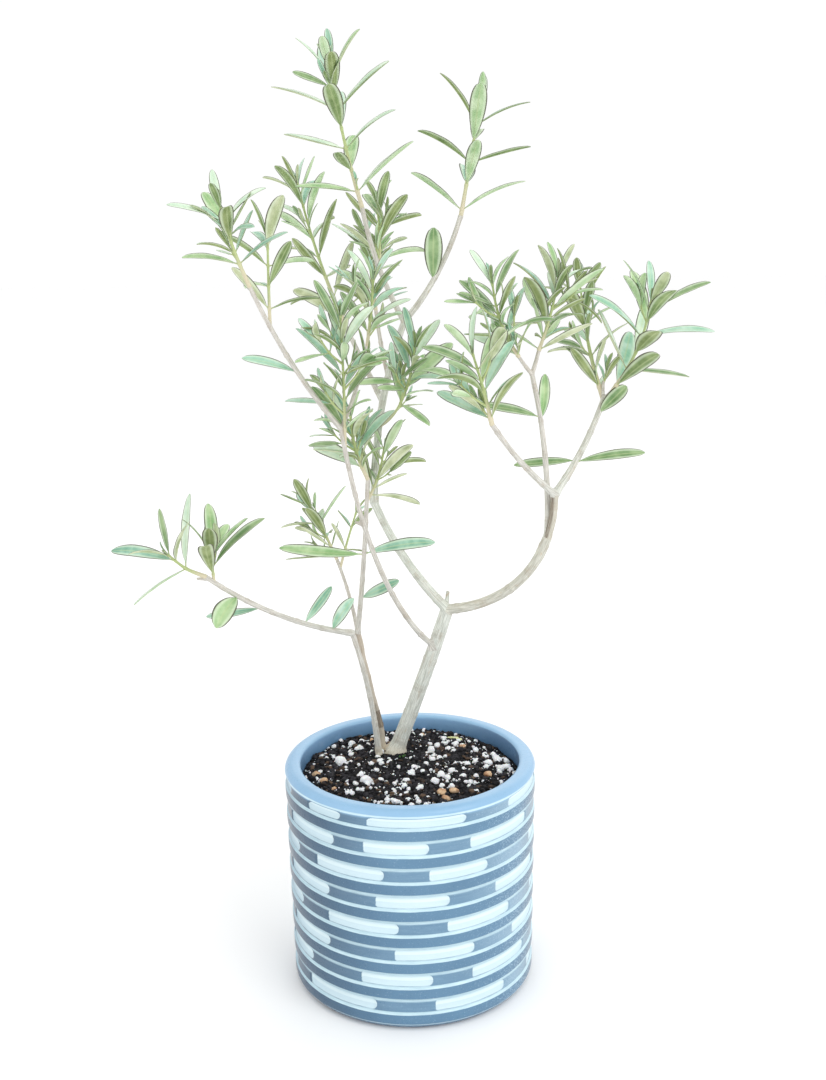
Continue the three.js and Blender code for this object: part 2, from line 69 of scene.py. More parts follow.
# Pot
POT_HEIGHT = 140
POT_RADIUS = 76
POT_BASE_RADIUS = 74
POT_INNER_RADIUS = 66
POT_FLOOR = 12
RIM_ROUND = 4.5
FOOT_ROUND = 6
RIDGE_COUNT = 8
RIDGE_PITCH = 16.7
TOP_RIDGE_LEVEL = 124.4
RIDGE_HALF_HEIGHT = 3.2
BAND_HALF_HEIGHT = 3.35
RIDGE_ROUNDING = 0.12
GROOVE_DEPTH = 1.0
BAR_DEPTH = 0.6
POCKET_DEPTH = 1.7
# Where the side of a ridge ends, and where a bar rises, as distances from the ridge's middle
RIDGE_END = 4.0
BAR_RISE = (4.3, 5.1)
# Where a dash sinks, as distances outside it, and how far up into the rim its own colour starts
DASH_FALL = (0.45, -0.75)
RIM_COLOUR_START = 0.4
POCKET_START_ROUND = 1.0
POCKET_END_ROUND = 3.0
POT_SIDES = 400
# The distance from a dash that counts where none is near
OUTSIDE_DASH = 3.0
# Below this level the pot's inner side has the colour of the inside, and above it the rim's
LIP_END = 138.5
# Points of the pot closer together than this, in metres, become one
PINCH = 0.00003
# Levels of the outside: those of the foot, those above and below each ridge, and those of the rim
FOOT_LEVELS = {0.05, 0.4, 1.0, 1.9, 3.0}
RIDGE_OFFSETS = (0, 1.7, 2.7, 3.2, 3.5, 3.9, 4.3, 4.7, 5.0, 5.4, 6.4, 7.5)
RIM_START = 136
RIM_LEVELS = [136.2, 136.9, 137.6, 138.2, 138.8, 139.3, 139.7, 139.92]
# The lip and the inside, from the top round to the floor, as (radius, level)
POT_INSIDE = [
    (71.3, 140), (70.2, 140), (69, 140), (67.9, 139.95), (67.0, 139.6), (66.4, 139.1),
    (66.1, 138.4), *((POT_INNER_RADIUS, level) for level in (137.5, 135.5, 133, 130, 120, 60)),
    (POT_INNER_RADIUS, POT_FLOOR), (0.01, POT_FLOOR),
]

# Dashes of each band from the top one down, in degrees round the pot from its front to the right.
# From the last dash to the first, round the back, dashes and bars follow by a seeded rule.
BAND_POCKETS = [
    [(-100, -69), (-51, -32), (-19, 25), (49, 86)],
    [(-69, -36), (-21, 8), (27, 64)],
    [(-95, -62), (-47, -12), (8, 36), (70, 104)],
    [(-74, -40), (-16, 17), (41, 76)],
    [(-94, -61), (-41, -6), (16, 50), (73, 108)],
    [(-73, -41), (-8, 29), (53, 88)],
    [(-83, -54), (-24, 9), (28, 63)],
    [(-100, -75), (-57, -17), (10, 47), (70, 100)],
]
POCKET_SPAN = 34
BAR_SPAN = 22
SHORTEST_SPAN = 14

# Potting soil
SOIL_TOP = 132
SOIL_EDGE = 128.5
SOIL_FLAT_RADIUS = 38
SOIL_SLOPE_LENGTH = 28
GAP = 0.3
SOIL_ROUGHNESS = 1.1
# Its waves as length, seed and share of the roughness, and its heap towards the back left
SOIL_WAVES = ((9, 3, 0.6), (3.4, 4, 0.4), (1.5, 6, 0.2))
SOIL_HEAP = 1.6
SOIL_RINGS = 70
SOIL_SIDES = 220
SOIL_WAIST = 90
SCATTER_RADIUS = 64.5
HUDDLE_RADIUS = 64
# How many loose grains have others huddled round them, and how many each
HUDDLE_HEARTS = 36
HUDDLE_SIZE = 5
# The lumps: the detail of the ball that they are made of, how lumpy and how flat they are and
# how far their middle lies above the soil, as a share of their half height
LUMPS = {
    "peat_crumbs": (1, 0.45, 0.75, 0.3),
    "bark_bits": (1, 0.4, 0.35, 0.6),
    "perlite": (2, 0.36, 0.88, 0.35),
    "pebbles": (3, 0.2, 0.7, 0.35),
    "dry_chip": (3, 0.3, 0.55, 0.8),
    "moss_tuft": (2, 0.5, 1.1, 0.6),
}

# Limbs and twigs
LIMB_STEP = 13
TWIG_BASE_RADIUS = 1.15
TWIG_TIP_RADIUS = 0.85
SHOOT_BASE_RADIUS = 0.95
SHOOT_TIP_RADIUS = 0.55
FLARE_HEIGHT = 9
FLARE_SPREAD = 0.45
SPHERE_SPACING = 4
SPHERE_ROOM = 20000
PATH_SAMPLES = 201
# The stem that leans on its neighbour: points along it, and how close it comes at that, as a
# share of the two radii
LEAN_SAMPLES = 25
LEAN_TOUCH = 0.9
BARK_VOXEL = 0.42
BOUGH_VOXEL = 0.5
NODE_SPACING = 19
BARK_SAMPLE_SPACING = 0.7
BARK_RUN_STEP = 271
# How far the bark rises in mm: its lines, its slow swells and its pores
LINE_LIFT, SWELL_LIFT, PORE_LIFT = 0.13, 0.2, 0.16
# The same for a node and the crease beside it, as shares of the radius
NODE_LIFT, CREASE_DEPTH = 0.13, 0.05
# A bough's foot, which the stout limb that it leaves is melted together with
COLLAR_LENGTH = 9
COLLAR_SHARE = 0.16
STOUT_SIDES, SLIM_SIDES, COLLAR_SIDES = 16, 12, 14
# The small ring at each end of a tube: how far out it lies, and its size, as shares of the radius
END_REACH, END_SIZE = 0.45, 0.75
SHOOT_SIDES = 9
SHOOT_SPACING = 0.9
SHOOT_TAPER = 0.7
SHOOT_NODE_SWELL, SHOOT_NODE_LENGTH = 0.24, 0.9
# By the depth of a shoot in its mass: how thin its tip is, and how green its foot
SHOOT_TIP_SHARES = (1, 0.8, 0.62)
SHOOT_FOOT_AGES = (0, 0.45, 0.6)

# Leaves
LEAF_WIDTH_RATIO = 0.21
LEAF_TIP_LENGTH = 0.66
LEAF_SPREAD_LOW = 66
LEAF_SPREAD_TIP = 36
LEAF_SCATTER = 24
LEAF_LENGTHS = (0.88, 1.12)
LEAF_WIDTHS = (0.85, 1.2)
LEAF_STANDOFF = 0.4
# How late along a stem its leaves turn in towards the tip, and how late they get shorter
LEAF_SPREAD_EASE = 2.5
LEAF_LENGTH_EASE = 4
LEAF_BALL_PLACES = (0.35, 0.6, 0.85, 1)
LIGHT_LEAN = 0.28
SINGLE_LEAF_FACE = 45
NODE_CROWDING = 1.35
LAST_NODE = 0.985
LEAF_CLEARANCE_RATIO = 0.32
BLADE_START = 0.06
BLADE_FULLNESS = 1.07
BLADE_THICKNESS = 0.42
BLADE_PEAK = 0.4427
PETIOLE_HALF_WIDTH = 0.36
PETIOLE_THICKNESS = 0.7
MIDRIB_SINK = 0.13
RIB_HEIGHTS = (0.42, 0.08)
LONG_LEAF = 14
LONG_LEAF_RINGS = 18
SHORT_LEAF_RINGS = 10

# Places of a ring's points across the blade, as shares of half its width: upper side, under side
UPPER_PLACES = [-1, -0.72, -0.36, -0.07, 0.07, 0.36, 0.72, 1]
LOWER_PLACES = [0.7, 0.16, 0, -0.16, -0.7]

# Side twigs of a mass's stem
SIDE_TWIG_LAST = 0.75
SIDE_TWIG_SCATTER = 50
SIDE_TWIG_LENGTHS = (16, 24)
SIDE_TWIG_LEAF = 0.75

# Late growth: pairs of leaves between the nodes, side shoots in their angles and buds
LATE_LEAF_GAP = 9
LATE_LEAF_SIZES = (0.55, 0.8)
SIDE_LEAF_SIZES = (0.4, 0.6)
SIDE_LEAF_PLACE = 0.6
SIDE_SHOOT_LENGTHS = (6, 15)
LEAFY_SHOOT_LENGTH = 8
FULL_SHOOT_SHARE = 0.7
OPEN_SHOOT_SHARE = 0.25
LATE_LEAF_SPREADS = (35, 62)
LATE_LENGTHS = (0.85, 1.15)
LATE_WIDTHS = (0.9, 1.2)
BUD_LENGTHS = (9, 14)
SIDE_BUD_LENGTHS = (9, 15)
BUD_SPREADS = (0.8, 1.3)
BUD_WIDTH_RATIO = 0.19
# Each pair's spread in degrees and its size
BUD_PAIRS = ((20, 1), (8, 0.5))

# Seeds of the numbers that vary the masses, the late growth, the dashes, the soil and the blades
MASS_SEED = 101
MASS_SEED_STEP = 7
LATE_SEED = 977
DASH_SEED = 41
SOIL_SEED = 12
BLADE_SEED = 31

# A limb leaves its parent at a fraction of the parent's length. One that has no parent stands
# on the soil at (x, y). It turns from its first heading and rise to its last.
LIMB_COLUMNS = ("name", "parent", "at", "length", "heading", "rise", "radius")
LIMBS = [dict(zip(LIMB_COLUMNS, row)) for row in [
    ("trunk", None, (-9, 26), 102, (-4, -30), (69, 71), (4.9, 3.9)),
    ("stem_left_front", None, (-19.4, 23), 88, (-108, -146), (79, 72), (1.9, 1.6)),
    ("stem_left_back", None, (-17, 28.5), 86, (-110, -140), (87, 65), (1.9, 1.6)),
    ("bough_side", "trunk", 0.74, 170, (-164, -109), (36, 70), (1.7, 1.3)),
    ("bough_centre_low", "trunk", 1, 78, (174, 160), (46, 66), (2.9, 2.4)),
    ("bough_centre_high", "bough_centre_low", 1, 110, (-30, -10), (89, 69), (2.4, 1.9)),
    ("bough_top", "bough_centre_high", 1, 70, (-168, -126), (62, 74), (1.7, 1.3)),
    ("bough_top_right", "bough_centre_high", 1, 70, (26, 28), (44, 70), (1.8, 1.4)),
    ("bough_upper_left", "bough_centre_high", 0.56, 52, (135, 139), (53, 58), (1.9, 1.4)),
    ("bough_inner_back", "bough_centre_high", 0.7, 42, (112, 104), (55, 64), (1.4, 1.2)),
    ("bough_far_left", "bough_side", 1, 97, (-142, -134), (48, 62), (1.5, 1.2)),
    ("bough_inner_left", "bough_side", 1, 48, (42, 54), (57, 69), (1.3, 1.1)),
    ("bough_right_low", "trunk", 1, 88, (-20, -44), (8, 68), (3.1, 2.7)),
    ("bough_right_rise", "bough_right_low", 1, 27, (-40, -60), (68, 88), (2.6, 2.4)),
    ("bough_right_front", "bough_right_rise", 1, 80, (-130, -124), (33, 43), (1.9, 1.4)),
    ("bough_right_middle", "bough_right_low", 1, 94, (150, 172), (92, 77), (1.8, 1.4)),
    ("bough_middle_left", "bough_right_middle", 1, 14, (-150, -146), (46, 52), (1.2, 1.1)),
    ("bough_middle_right", "bough_right_middle", 1, 14, (42, 56), (64, 62), (1.3, 1.1)),
    ("bough_right_outer", "bough_right_rise", 1, 78, (54, 62), (28, 42), (2.2, 1.7)),
    ("bough_outer_right", "bough_right_outer", 1, 8, (-10, -28), (40, 52), (1.5, 1.3)),
    ("bough_left", "stem_left_front", 1, 112, (-140, -143), (18, 40), (1.8, 1.4)),
    ("bough_up", "stem_left_back", 1, 103, (-64, -74), (74, 77), (1.7, 1.3)),
    ("bough_back", "stem_left_back", 1, 53, (102, 118), (42, 44), (1.3, 1.1)),
]]
# A limb that makes most of its turn near its foot, with the power that its fraction is raised to
BENDS = {"bough_side": 0.4}

# A mass of foliage: how many pairs of leaves it has from its bare foot up, the length of a leaf,
# the roll of the first pair and how many side twigs.
MASS_COLUMNS = (
    "name", "parent", "at", "length", "heading", "rise",
    "pairs", "bare", "leaf", "turn", "twigs",
)
MASSES = [dict(zip(MASS_COLUMNS, row)) for row in [
    ("foliage_top", "bough_top", 1, 77, (-128, -116), (66, 74), 8, 0.12, 37, 0, 0),
    ("foliage_top_right", "bough_top_right", 1, 59, (44, 34), (74, 79), 6, 0.06, 37, 0, 0),
    ("foliage_top_side", "bough_top", 0.45, 40, (95, 92), (60, 66), 5, 0.2, 29, 30, 1),
    ("foliage_upper_left", "bough_upper_left", 1, 90, (137, 134), (58, 72), 9, 0.05, 33, 60, 0),
    ("foliage_far_left", "bough_far_left", 1, 42, (-144, -116), (64, 69), 4, 0.3, 31, 10, 0),
    ("foliage_far_side", "bough_far_left", 0.75, 50, (96, 92), (58, 66), 5, 0.2, 29, 40, 0),
    ("foliage_inner_left", "bough_inner_left", 1, 36, (-40, -60), (78, 80), 4, 0.2, 30, 135, 1),
    ("foliage_inner_back", "bough_inner_back", 1, 45, (115, 130), (76, 79), 5, 0.1, 28, 50, 1),
    ("foliage_centre_left", "bough_side", 0.92, 80, (-84, -92), (70, 71), 6, 0.18, 33, 135, 3),
    ("foliage_centre_right", "bough_centre_high", 0.42, 72, (-58, -69), (22, 72),
     5, 0.45, 34, 135, 1),
    ("foliage_mid_left", "bough_up", 1, 42, (-135, -100), (56, 78), 5, 0.2, 33, 135, 1),
    ("foliage_mid_right", "bough_up", 0.86, 36, (55, 72), (38, 64), 5, 0.15, 32, 20, 0),
    ("foliage_back", "bough_back", 1, 41, (128, 144), (52, 50), 5, 0.08, 28, 10, 0),
    ("foliage_back_side", "bough_back", 0.88, 38, (70, 60), (50, 54), 3, 0.35, 20, 40, 0),
    ("foliage_left_upright", "bough_left", 0.94, 17, (-95, -85), (76, 76), 4, 0.3, 44, 100, 0),
    ("foliage_left_end", "bough_left", 1, 26, (-146, -150), (24, 50), 3, 0.5, 40, 55, 0),
    ("foliage_right_front", "bough_right_front", 1, 39, (-150, -150), (76, 70),
     4, 0.08, 37, 135, 2),
    ("foliage_middle_left", "bough_middle_left", 1, 46, (-148, -125), (50, 77),
     5, 0.02, 31, -45, 2),
    ("foliage_middle_right", "bough_middle_right", 1, 42, (40, 50), (60, 74), 5, 0.02, 36, 135, 2),
    ("foliage_outer_left", "bough_right_outer", 1, 68, (128, 112), (62, 78), 5, 0.12, 33, 70, 0),
    ("foliage_outer_right", "bough_outer_right", 1, 58, (-12, -62), (54, 78), 7, 0.06, 42, 100, 0),
]]

# Single leaves on the boughs
LEAF_COLUMNS = ("name", "parent", "at", "heading", "rise", "length", "width")
LEAVES = [dict(zip(LEAF_COLUMNS, row)) for row in [
    ("leaf_top_right", "bough_top_right", 0.42, 70, 86, 30, 10),
    ("leaf_up_left", "bough_up", 0.53, 178, 6, 50, 8),
    ("leaf_up_right", "bough_up", 0.53, 0, 10, 42, 7),
    ("leaf_left_oval", "bough_left", 0.78, -120, -30, 24, 11),
    ("leaf_left_low", "bough_left", 0.62, 165, -12, 35, 5),
    ("leaf_left_inner", "bough_left", 0.33, 45, 38, 28, 6),
    ("leaf_left_pale", "bough_left", 0.14, -25, 54, 26, 8),
    ("leaf_up_low", "bough_up", 0.24, -10, 26, 26, 8),
    ("leaf_outer_right", "bough_right_outer", 0.36, -4, 9, 40, 6),
    ("leaf_outer_left", "bough_right_outer", 0.38, 176, -4, 36, 6),
    ("leaf_fork_right", "bough_right_outer", 0.86, 20, 40, 24, 8),
    ("leaf_far_low", "bough_far_left", 0.44, -168, 18, 30, 5),
    ("leaf_middle_low", "bough_right_middle", 0.72, 60, 78, 26, 6),
    ("leaf_middle_side", "bough_right_middle", 0.74, 178, 12, 34, 6),
]]

# Grains that show from the front: place, then half width.
PERLITE_PLACES = [
    (-42, 11, 3.7), (-26, -19, 3.9), (-37, 39, 2.5), (-33, 29, 1.9), (13, 25, 3.1), (17, 31, 2.5),
    (0, -8, 2.4), (18, -13, 2.7), (15, -21, 2.4), (25, -6, 2.1), (52, 23, 2.5), (54, 14, 3.1),
    (55, 3, 2.7), (59, 15, 2.2), (48, 8, 2.5), (58, 5, 1.8), (-13, -43, 2), (39, -32, 1.8),
    (35, -25, 1.5), (-9, -23, 1.5), (-34, -33, 1.8), (34, 7, 1.5), (-20, 19, 1.6), (-17, 7, 1.8),
]
PEBBLE_PLACES = [
    (-57, -1, 3), (-52, -11, 2.7), (19, -34, 2.6), (26, -33, 2.6), (21, -41, 2.3), (47, -8, 2.7),
    (-45, -24, 1.5), (33, 34, 1.9), (-24, 47, 2.1), (8, 53, 1.8), (50, -30, 1.8),
]
CHIP_PLACES = [(26.4, 47.6, 1.9), (29, 46.8, 2.3), (31.6, 46.2, 1.8)]
MOSS_PLACES = [(-5, 18, 0.9), (-6.2, 17.2, 0.7), (-4.2, 16.6, 0.8), (-3.2, 18.8, 0.6)]

# Wood that is melted together more finely than the boughs above it
STOUT_LIMBS = (
    "trunk", "stem_left_front", "stem_left_back", "bough_centre_low", "bough_right_low",
    "bough_right_rise",
)

# How brown the bark of a limb is; the others are pale
BROWN_BARK = {"stem_left_back": 1.0, "bough_right_rise": 0.75, "bough_right_low": 0.5}
# Where a dark mark lies on a limb, as fractions of its length, and whether on its -X side alone: a
# scar on stem_left_back, and painted shadow on bough_right_rise where it lies beside its neighbour
SCARS_AND_SHADOWS = {"stem_left_back": (0.2, 0.36, False), "bough_right_rise": (0.03, 0.95, True)}

# Masses in the middle of the crown, which also carry late leaves and more side shoots
FULL_MASSES = (
    "foliage_top_side", "foliage_far_left", "foliage_inner_left",
    "foliage_inner_back", "foliage_centre_left", "foliage_centre_right", "foliage_mid_left",
    "foliage_mid_right", "foliage_back", "foliage_right_front", "foliage_middle_left",
    "foliage_middle_right", "foliage_outer_left",
)

# Light: the world's strength, then lamps as name, place in metres, size and power
WORLD_STRENGTH = 1.02
LAMPS = [
    ("key_lamp", (1.1, -1.2, 1.5), 1.2, 11),
    ("fill_lamp", (-1.4, -0.9, 0.9), 1.5, 2.5),
    ("back_lamp", (0.4, 1.5, 1.2), 1.5, 4),
]
LAMP_TARGET = (0, 0, 0.28)
# Half the floor's width in metres
FLOOR_HALF = 6

# Camera, where the photograph was taken from
CAMERA_PLACE = (6.7, -789, 480.5)
CAMERA_PITCH = 14.55
CAMERA_YAW = 0.16
CAMERA_ROLL = -1.1
FOCAL_PIXELS = 1400
# The photograph's height, and the sensor's size along it
PHOTO_HEIGHT = 1080
SENSOR_SIZE = 36

# Stubs of side twigs that were cut off: the limb, the place along it, heading, rise, length
# and radius.
STUBS = [
    ("trunk", 0.985, 60, 80, 12, 1.25),
    ("bough_centre_high", 0.99, 10, 84, 9, 1.1),
    ("bough_right_rise", 0.97, 40, 60, 5, 1.2),
    ("bough_right_outer", 0.98, 80, 76, 12, 1.0),
    ("bough_side", 0.62, -150, 30, 6, 0.9),
    ("bough_left", 0.97, -160, 10, 7, 0.9),
    ("bough_right_low", 0.55, -120, -20, 3.6, 1.2),
]


def seeded_numbers(seed):
    """Numbers from 0 to 1, the same ones as the solids grow by."""
    state = seed

    def draw():
        nonlocal state
        state = (state * 1664525 + 1013904223) % 2**32
        return state / 2**32

    return draw


def mix(a, b, fraction):
    return a + (b - a) * fraction


def smooth(low, high, value):
    t = np.clip((value - low) / (high - low), 0, 1)
    return t * t * (3 - 2 * t)


def unit(vector):
    return vector / np.linalg.norm(vector)


def direction(heading, rise):
    level = math.cos(math.radians(rise))
    return np.array([
        level * math.cos(math.radians(heading)),
        level * math.sin(math.radians(heading)),
        math.sin(math.radians(rise)),
    ])


def ripple(points, seed):
    """Smooth noise from -1 to 1 at each point, one wave to a unit of length."""
    cell = np.floor(points).astype(np.int64)
    part = points - cell
    part = part * part * (3 - 2 * part)
    total = np.zeros(len(points))
    for corner in np.ndindex(2, 2, 2):
        at = cell + corner
        mixed = at[:, 0] * 374761393 + at[:, 1] * 668265263 + at[:, 2] * 2147483647 + seed * 974634
        mixed = (mixed ^ (mixed >> 13)) * 1274126177
        value = ((mixed ^ (mixed >> 16)) & 0xFFFFFF) / 0xFFFFFF
        weight = np.prod(np.where(corner, part, 1 - part), axis=1)
        total += weight * value
    return total * 2 - 1


class Path:
    """A smooth line through points, read by the fraction of its length."""

    def __init__(self, points):
        inner = [np.array(p, float) for p in points]
        self.points = [2 * inner[0] - inner[1], *inner, 2 * inner[-1] - inner[-2]]
        self.parameters = np.linspace(0, 1, PATH_SAMPLES)
        fine = np.array([self._at(t) for t in self.parameters])
        steps = np.linalg.norm(np.diff(fine, axis=0), axis=1)
        self.lengths = np.concatenate([[0], np.cumsum(steps)])
        self.length = self.lengths[-1]

    def _at(self, t):
        last = len(self.points) - 4
        place = t * (last + 1)
        i = min(int(place), last)
        x0, x1, x2, x3 = self.points[i:i + 4]
        d0, d1, d2 = (np.linalg.norm(b - a) ** 0.5 for a, b in ((x0, x1), (x1, x2), (x2, x3)))
        t1 = ((x1 - x0) / d0 - (x2 - x0) / (d0 + d1) + (x2 - x1) / d1) * d1
        t2 = ((x2 - x1) / d1 - (x3 - x1) / (d1 + d2) + (x3 - x2) / d2) * d1
        w = place - i
        cubic = 2 * x1 - 2 * x2 + t1 + t2
        square = -3 * x1 + 3 * x2 - 2 * t1 - t2
        return x1 + w * (t1 + w * (square + w * cubic))

    def _parameter(self, fraction):
        return np.interp(fraction * self.length, self.lengths, self.parameters)

    def point(self, fraction):
        return self._at(self._parameter(fraction))

    def tangent(self, fraction):
        t = self._parameter(fraction)
        return unit(self._at(min(t + 1e-4, 1)) - self._at(max(t - 1e-4, 0)))


def trace_path(start, row):
    """A limb turns from its first heading and rise to its last."""
    count = max(2, round(row["length"] / LIMB_STEP))
    points = [np.array(start, float)]
    for i in range(count):
        fraction = ((i + 0.5) / count) ** BENDS.get(row["name"], 1)
        heading = mix(*row["heading"], fraction)
        rise = mix(*row["rise"], fraction)
        points.append(points[-1] + direction(heading, rise) * row["length"] / count)
    return Path(points)


def carried_frames(path, fractions):
    """A point, its tangent and two sides at each fraction, carried along with no twist."""
    tangents = [path.tangent(f) for f in fractions]
    side = unit(np.cross(tangents[0], [0.31, 0.87, 0.12]))
    frames = []
    for fraction, tangent in zip(fractions, tangents):
        side = unit(side - tangent * np.dot(side, tangent))
        frames.append((path.point(fraction), tangent, side, np.cross(tangent, side)))
    return frames


class Shape:
    """Points and faces that are gathered into one mesh, each face with the number of its finish."""

    def __init__(self):
        self.points = []
        self.faces = []
        self.finishes = []
        self.count = 0

    def add(self, points, faces, finish=0):
        points = np.asarray(points, float)
        self.points.append(points)
        faces = [tuple(i + self.count for i in face) for face in faces]
        self.faces.extend(faces)
        self.finishes.extend([finish] * len(faces) if isinstance(finish, int) else finish)
        self.count += len(points)

    def mesh(self, name, scale=MM):
        mesh = bpy.data.meshes.new(name)
        mesh.from_pydata((np.concatenate(self.points) * scale).tolist(), [], self.faces)
        mesh.polygons.foreach_set("material_index", self.finishes)
        mesh.polygons.foreach_set("use_smooth", [True] * len(self.faces))
        mesh.update()
        return mesh


def skin(rings, sides):
    """Quads from each ring of points to the next."""
    return [
        (i * sides + j, i * sides + (j + 1) % sides,
         (i + 1) * sides + (j + 1) % sides, (i + 1) * sides + j)
        for i in range(rings - 1) for j in range(sides)
    ]


def lids(rings, sides):
    """A face over the first ring, which looks back, and one over the last."""
    return [tuple(reversed(range(sides))), tuple(range((rings - 1) * sides, rings * sides))]


def tube(path, radius_at, sides, spacing, start=0.0, end=1.0):
    """A closed tube along a path, its ends rounded by two small rings."""
    steps = max(3, round(path.length * (end - start) / spacing))
    fractions = np.linspace(start, end, steps + 1)
    frames = carried_frames(path, fractions)
    rings = []
    for i, (point, tangent, side, up) in enumerate(frames):
        radius = radius_at(fractions[i])
        if i == 0:
            rings.append((point - tangent * radius * END_REACH, side, up, radius * END_SIZE))
        rings.append((point, side, up, radius))
        if i == steps:
            rings.append((point + tangent * radius * END_REACH, side, up, radius * END_SIZE))
    angles = np.arange(sides) * 2 * math.pi / sides
    points = []
    for point, side, up, radius in rings:
        ring = np.outer(np.cos(angles), side) + np.outer(np.sin(angles), up)
        points.append(point + ring * radius)
    return np.concatenate(points), skin(len(rings), sides) + lids(len(rings), sides)


class Clearance:
    """Spheres along every limb, stem and leaf, which keep the masses clear of each other."""

    def __init__(self):
        self.centres = np.zeros((SPHERE_ROOM, 3))
        self.radii = np.zeros(SPHERE_ROOM)
        self.owners = np.zeros(SPHERE_ROOM, int)
        self.names = {}
        self.count = 0

    def _number(self, owner):
        return self.names.setdefault(owner, len(self.names))

    def add(self, owner, centre, radius):
        self.centres[self.count] = centre
        self.radii[self.count] = radius
        self.owners[self.count] = self._number(owner)
        self.count += 1

    def add_path(self, owner, path, length, radius_at):
        count = math.ceil(length / SPHERE_SPACING)
        for i in range(count + 1):
            self.add(owner, path.point(i / count), radius_at(i / count))

    def is_clear(self, owner, balls):
        others = self.owners[:self.count] != self._number(owner)
        centres = self.centres[:self.count][others]
        reach = self.radii[:self.count][others] + GAP
        return all(
            (np.linalg.norm(centres - centre, axis=1) > reach + radius).all()
            for centre, radius in balls
        )


def leaf_balls(root, along, length, width):
    radius = width * LEAF_CLEARANCE_RATIO
    return [(root + along * fraction * length, radius) for fraction in LEAF_BALL_PLACES]


def towards_light(spread, outward):
    """A leaf on the side that faces the light, -Y, stands closer to its stem."""
    return math.radians(spread) * (1 - LIGHT_LEAN * max(0, -outward[1]))


def spoke(tangent, roll):
    """A way out from a stem. Its roll is measured from the side that lies square to +Y."""
    sideways = unit(np.cross([0, 1, 0], tangent))
    deep = unit(np.cross(tangent, sideways))
    return sideways * math.cos(roll) + deep * math.sin(roll)


def leaf_turned(tangent, outward, angle):
    """A leaf's own direction, and the one that its upper side faces."""
    along = tangent * math.cos(angle) + outward * math.sin(angle)
    up = tangent * math.sin(angle) - outward * math.cos(angle)
    return along, up


